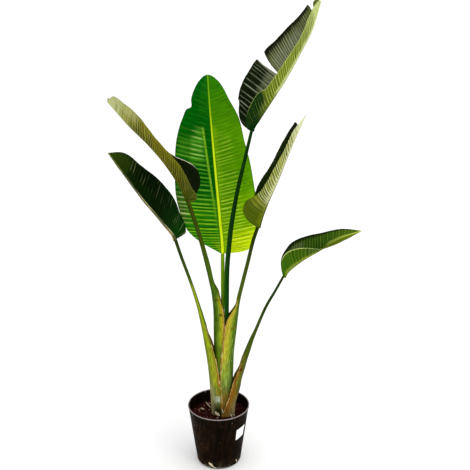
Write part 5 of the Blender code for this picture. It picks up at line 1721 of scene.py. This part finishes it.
# Dry scraps of old sheaths at the foot of the stalks, as start, end, width and lean towards the front. Their
# width follows a sine over SCRAP_ARC, a start and a run in half turns.
SCRAPS = (
    ((-0.012, -0.029, 0.196), (0.004, -0.030, 0.181), 0.010, 0.002),
    ((0.012, -0.028, 0.206), (0.017, -0.030, 0.189), 0.004, 0.002),
    ((0.040, -0.031, 0.190), (0.048, -0.034, 0.177), 0.0035, 0.003),
    ((0.051, -0.028, 0.188), (0.055, -0.030, 0.178), 0.003, 0.002),
    ((-0.046, 0.046, 0.1900), (-0.027, 0.010, 0.1880), 0.0055, 0.0),
    ((-0.062, 0.008, 0.1870), (-0.049, 0.004, 0.1860), 0.0070, 0.0),
    ((-0.034, -0.0712, 0.0235), (-0.019, -0.0760, 0.0150), 0.0080, 0.0012),
    ((-0.028, -0.0735, 0.0150), (-0.008, -0.0765, 0.0060), 0.0035, 0.0010),
    ((0.0600, -0.0515, 0.0240), (0.0608, -0.0500, 0.0150), 0.0050, 0.0006),
)
SCRAP_ROWS = 14
SCRAP_COLUMNS = 7
SCRAP_ARC = (0.06, 0.90)
SCRAP_FULLNESS = 0.7
SCRAP_BOW = 0.0010
SCRAP_THICKNESS = 0.0005


def scrap_sheet(start, end, width, lean):
    """One scrap: a thin pointed leaf-shape carried from its start to its end, bowed towards the front."""
    start, end = np.array(start), np.array(end)
    t = np.linspace(0, 1, SCRAP_ROWS)[:, None, None]
    s = np.linspace(-1, 1, SCRAP_COLUMNS)[None, :, None]
    side = unit(np.cross(unit(end - start), FRONT))
    first, span = SCRAP_ARC
    bulge = np.sin(math.pi * (first + span * t)) ** SCRAP_FULLNESS
    sheet = start + (end - start) * t + side * s * bulge * width / 2
    return sheet + FRONT * (lean * np.sin(math.pi * t) + SCRAP_BOW * (1 - s**2) * bulge)


def scraps_piece(name):
    """Dry sheath scraps as one mesh of thin closed sheets."""
    points, quads = [], []
    for number, scrap in enumerate(SCRAPS):
        sheet = scrap_sheet(*scrap)
        points += [sheet, sheet - FRONT * SCRAP_THICKNESS]
        quads.append(sheet_faces(SCRAP_ROWS, SCRAP_COLUMNS, number * 2 * SCRAP_ROWS * SCRAP_COLUMNS))
    return face_out(quad_mesh(name, listed(*points), np.concatenate(quads)))


def scraps_finish():
    """Cream, dry plant fibre with darker streaks."""
    skin = Finish("dry_sheath", roughness=0.80, specular=0.2)
    streak = skin.noise(skin.place(), *NOISE["scrap fibres"])
    darker = skin.spread(streak, *RAMPS["scrap fibres"])
    skin.colour(skin.stain(linear("#d8ccb0"), "scrap fibres", darker))
    skin.bump(streak, RELIEF["scraps"])
    return skin.material


def floor_object(look):
    """A plain square floor."""
    half = look.floor_size / 2
    points = np.array([(-half, -half, 0.0), (half, -half, 0.0), (half, half, 0.0), (-half, half, 0.0)])
    obj = quad_mesh("floor", points, np.arange(4))
    skin = Finish("floor_paper", roughness=0.9, specular=0.1)
    skin.colour((*look.floor_colour, 1.0))
    obj.data.materials.append(skin.material)


KEY_PLACE = (1.9, -1.7, 2.3)
KEY_TARGET = (0.05, 0.0, 0.85)
KEY_SIDE = 1.3
KEY_COLOUR = (1.0, 0.98, 0.94)
SENSOR_WIDTH = 36.0


def key_light(look):
    """A square soft light in front of the plant on its right, which looks at the plant along its own -Z."""
    data = bpy.data.lights.new("key_light", "AREA")
    data.shape = "SQUARE"
    data.size = KEY_SIDE
    data.energy = look.key_power
    data.color = KEY_COLOUR
    light = bpy.data.objects.new("key_light", data)
    bpy.context.scene.collection.objects.link(light)
    back = unit(np.array(KEY_PLACE) - np.array(KEY_TARGET))
    right = unit(np.cross(UP, back))
    columns = (right, np.cross(back, right), back, KEY_PLACE)
    light.matrix_world = Matrix([*zip(*columns), (0.0, 0.0, 0.0, 1.0)])


def soft_sky(look):
    """A white sky, brighter round one direction by the square of the cosine of the angle to it."""
    world = bpy.data.worlds.new("studio")
    world.use_nodes = True
    sky = Wiring(world.node_tree)
    facing = sky.add("ShaderNodeVectorMath")
    facing.operation = "DOT_PRODUCT"
    sky.fill(facing, sky.add("ShaderNodeTexCoord").outputs["Generated"], unit(np.array(look.dome_side)))
    lobe = sky.math("MAXIMUM", facing.outputs["Value"])
    background = sky.tree.nodes["Background"]
    background.inputs["Color"].default_value = (1.0, 1.0, 1.0, 1.0)
    sky.put(background.inputs["Strength"], sky.scaled(sky.product(lobe, lobe), look.dome, look.sky))
    return world


def camera_object(look):
    """The camera, level and facing the back, and then tipped down."""
    data = bpy.data.cameras.new("camera")
    data.lens = look.camera_lens
    data.sensor_width = SENSOR_WIDTH
    camera = bpy.data.objects.new("camera", data)
    bpy.context.scene.collection.objects.link(camera)
    camera.location = look.camera_place
    camera.rotation_euler = (math.pi / 2 - look.camera_tip, 0.0, 0.0)
    return camera


class BladeSettings(bpy.types.PropertyGroup):
    """Sizes and finish shared by the six blades"""
    pleat_height: FloatProperty(
        name="Pleat height", description="Height of a pleat above the middle of the sheet",
        default=0.00070, unit="LENGTH")
    vein_depth: FloatProperty(
        name="Vein depth", description="Depth of the fine veins' relief", default=0.00025, unit="LENGTH")
    thickness: FloatProperty(
        name="Thickness", description="Thickness of the sheet", default=0.0008, unit="LENGTH")
    rib_width: FloatProperty(
        name="Midrib width", description="Half width of the pale midrib at the base",
        default=0.0044, unit="LENGTH")
    row_spacing: FloatProperty(
        name="Row spacing", description="Distance between the grid's rows", default=0.0011, unit="LENGTH")
    columns: IntProperty(
        name="Columns", description="Columns of the grid on each half", default=22)
    roughness: FloatProperty(
        name="Roughness", description="Roughness of the leaf's skin", default=0.50)
    gloss: FloatProperty(
        name="Gloss", description="How much the leaf's skin mirrors", default=0.012)


class StalkSettings(bpy.types.PropertyGroup):
    """Sizes and finish shared by the six stalks"""
    ring_spacing: FloatProperty(
        name="Ring spacing", description="Distance between rings", default=0.0030, unit="LENGTH")
    arc_points: IntProperty(
        name="Arc points", description="Points across the outside of a ring", default=30)
    fibre_depth: FloatProperty(
        name="Fibre depth", description="Depth of the long fibres", default=0.0004, unit="LENGTH")
    roughness: FloatProperty(
        name="Roughness", description="Roughness of the stalk's skin", default=0.45)
    gloss: FloatProperty(
        name="Gloss", description="How much the stalk's skin mirrors", default=0.03)


class PotSettings(bpy.types.PropertyGroup):
    """Finish of the pot"""
    sides: IntProperty(name="Sides", description="Sides of the turned pot", default=288)
    roughness: FloatProperty(name="Roughness", description="Roughness of the plastic", default=0.45)
    colour: FloatVectorProperty(
        name="Plastic", description="Colour of the plastic", subtype="COLOR", default=(0.003, 0.002, 0.001))


class SoilSettings(bpy.types.PropertyGroup):
    """Finish of the soil and number of bark chips"""
    chips: IntProperty(name="Chips", description="Chips and fibres scattered on the soil", default=900)
    colour: FloatVectorProperty(
        name="Soil", description="Colour of the damp mix", subtype="COLOR", default=(0.034, 0.006, 0.005))


class StageSettings(bpy.types.PropertyGroup):
    """Floor, camera and lights"""
    floor_size: FloatProperty(
        name="Floor size", description="Side of the square floor", default=160.0, unit="LENGTH")
    floor_colour: FloatVectorProperty(
        name="Floor", description="Colour of the floor", subtype="COLOR", default=(0.95, 0.95, 0.95))
    camera_place: FloatVectorProperty(
        name="Camera", description="Place of the camera", subtype="XYZ", unit="LENGTH",
        default=(0.056, -2.35, 1.606))
    camera_tip: FloatProperty(
        name="Tip", description="How far the camera looks down", subtype="ANGLE",
        default=math.radians(18.5))
    camera_lens: FloatProperty(
        name="Lens", description="Focal length in millimetres on a 36 mm sensor", default=59.745)
    key_power: FloatProperty(name="Key", description="Power of the key light in watts", default=12.0)
    sky: FloatProperty(name="Sky", description="Strength of the even light from all round", default=1.0)
    dome: FloatProperty(
        name="Dome", description="Extra strength of the sky round the key light's direction", default=0.55)
    dome_side: FloatVectorProperty(
        name="Dome side", description="Direction of the brighter sky", subtype="DIRECTION",
        default=(0.62, -0.55, 0.56))


class PLANT_OT_blades(bpy.types.Operator):
    """Make the six fine blades in place of the plain ones"""
    bl_idname = "plant.blades"
    bl_label = "Blades"

    def execute(self, context):
        look = context.scene.plant_blades
        for name, leaf in LEAVES.items():
            blade = blade_piece(name + "_pleated_blade", leaf, VEINS[name], look)
            finish_piece(blade, blade_finish(name, look), "leaf_blade", name + "_blade")
        return {"FINISHED"}


class PLANT_OT_stalks(bpy.types.Operator):
    """Make the six fine stalks in place of the plain ones"""
    bl_idname = "plant.stalks"
    bl_label = "Stalks"

    def execute(self, context):
        look = context.scene.plant_stalks
        for name, leaf in LEAVES.items():
            stalk = stalk_piece(name + "_fibrous_stalk", leaf, look)
            finish_piece(stalk, stalk_finish(name, look), "leaf_stalk", name + "_stalk")
        return {"FINISHED"}


class PLANT_OT_pot(bpy.types.Operator):
    """Make the fine pot in place of the plain one"""
    bl_idname = "plant.pot"
    bl_label = "Pot"

    def execute(self, context):
        look = context.scene.plant_pot
        finish_piece(pot_piece("nursery_pot", look), pot_finish(look), "pot_plastic", "pot")
        return {"FINISHED"}


class PLANT_OT_soil(bpy.types.Operator):
    """Make the soil with its bark chips in place of the plain soil"""
    bl_idname = "plant.soil"
    bl_label = "Soil"

    def execute(self, context):
        look = context.scene.plant_soil
        finish_piece(soil_piece("potting_mix"), soil_finish(look), "potting_soil", "soil")
        finish_piece(chips_piece("bark_chips", look), chips_finish(), "potting_soil")
        return {"FINISHED"}


class PLANT_OT_label(bpy.types.Operator):
    """Make the blank label in place of the plain one"""
    bl_idname = "plant.label"
    bl_label = "Label"

    def execute(self, context):
        finish_piece(label_piece("blank_label"), label_finish(), "label_paper", "label")
        return {"FINISHED"}


class PLANT_OT_scraps(bpy.types.Operator):
    """Make the dry scraps of old sheaths at the foot of the stalks"""
    bl_idname = "plant.scraps"
    bl_label = "Dry scraps"

    def execute(self, context):
        finish_piece(scraps_piece("dry_sheath_scraps"), scraps_finish(), "leaf_stalk")
        return {"FINISHED"}


class PLANT_OT_stage(bpy.types.Operator):
    """Make the floor, the lights and the camera"""
    bl_idname = "plant.stage"
    bl_label = "Stage"

    def execute(self, context):
        look = context.scene.plant_stage
        floor_object(look)
        key_light(look)
        context.scene.world = soft_sky(look)
        context.scene.camera = camera_object(look)
        context.scene.view_settings.view_transform = "Standard"
        return {"FINISHED"}


class PLANT_PT_panel(bpy.types.Panel):
    """Lists the plant's operators and their settings"""
    bl_idname = "PLANT_PT_panel"
    bl_label = "Potted bird of paradise"
    bl_space_type = "VIEW_3D"
    bl_region_type = "UI"
    bl_category = "Plant"

    def draw(self, context):
        for operator, settings in OPERATORS:
            box = self.layout.box()
            box.operator(operator.bl_idname)
            if settings:
                group = getattr(context.scene, settings)
                for name in group.__annotations__:
                    box.prop(group, name)


SETTINGS = {
    "plant_blades": BladeSettings,
    "plant_stalks": StalkSettings,
    "plant_pot": PotSettings,
    "plant_soil": SoilSettings,
    "plant_stage": StageSettings,
}
OPERATORS = (
    (PLANT_OT_pot, "plant_pot"),
    (PLANT_OT_soil, "plant_soil"),
    (PLANT_OT_label, None),
    (PLANT_OT_stalks, "plant_stalks"),
    (PLANT_OT_blades, "plant_blades"),
    (PLANT_OT_scraps, None),
    (PLANT_OT_stage, "plant_stage"),
)


def register():
    """Register the settings, the operators and the panel."""
    for name, group in SETTINGS.items():
        bpy.utils.register_class(group)
        setattr(bpy.types.Scene, name, PointerProperty(type=group))
    for operator, _ in OPERATORS:
        bpy.utils.register_class(operator)
    bpy.utils.register_class(PLANT_PT_panel)


def unregister():
    """Remove the panel, the operators and the settings."""
    bpy.utils.unregister_class(PLANT_PT_panel)
    for operator, _ in reversed(OPERATORS):
        bpy.utils.unregister_class(operator)
    for name, group in reversed(SETTINGS.items()):
        delattr(bpy.types.Scene, name)
        bpy.utils.unregister_class(group)


def main():
    """Make every piece."""
    register()
    bpy.ops.plant.pot()
    bpy.ops.plant.soil()
    bpy.ops.plant.label()
    bpy.ops.plant.stalks()
    bpy.ops.plant.blades()
    bpy.ops.plant.scraps()
    bpy.ops.plant.stage()


if __name__ == "__main__":
    main()
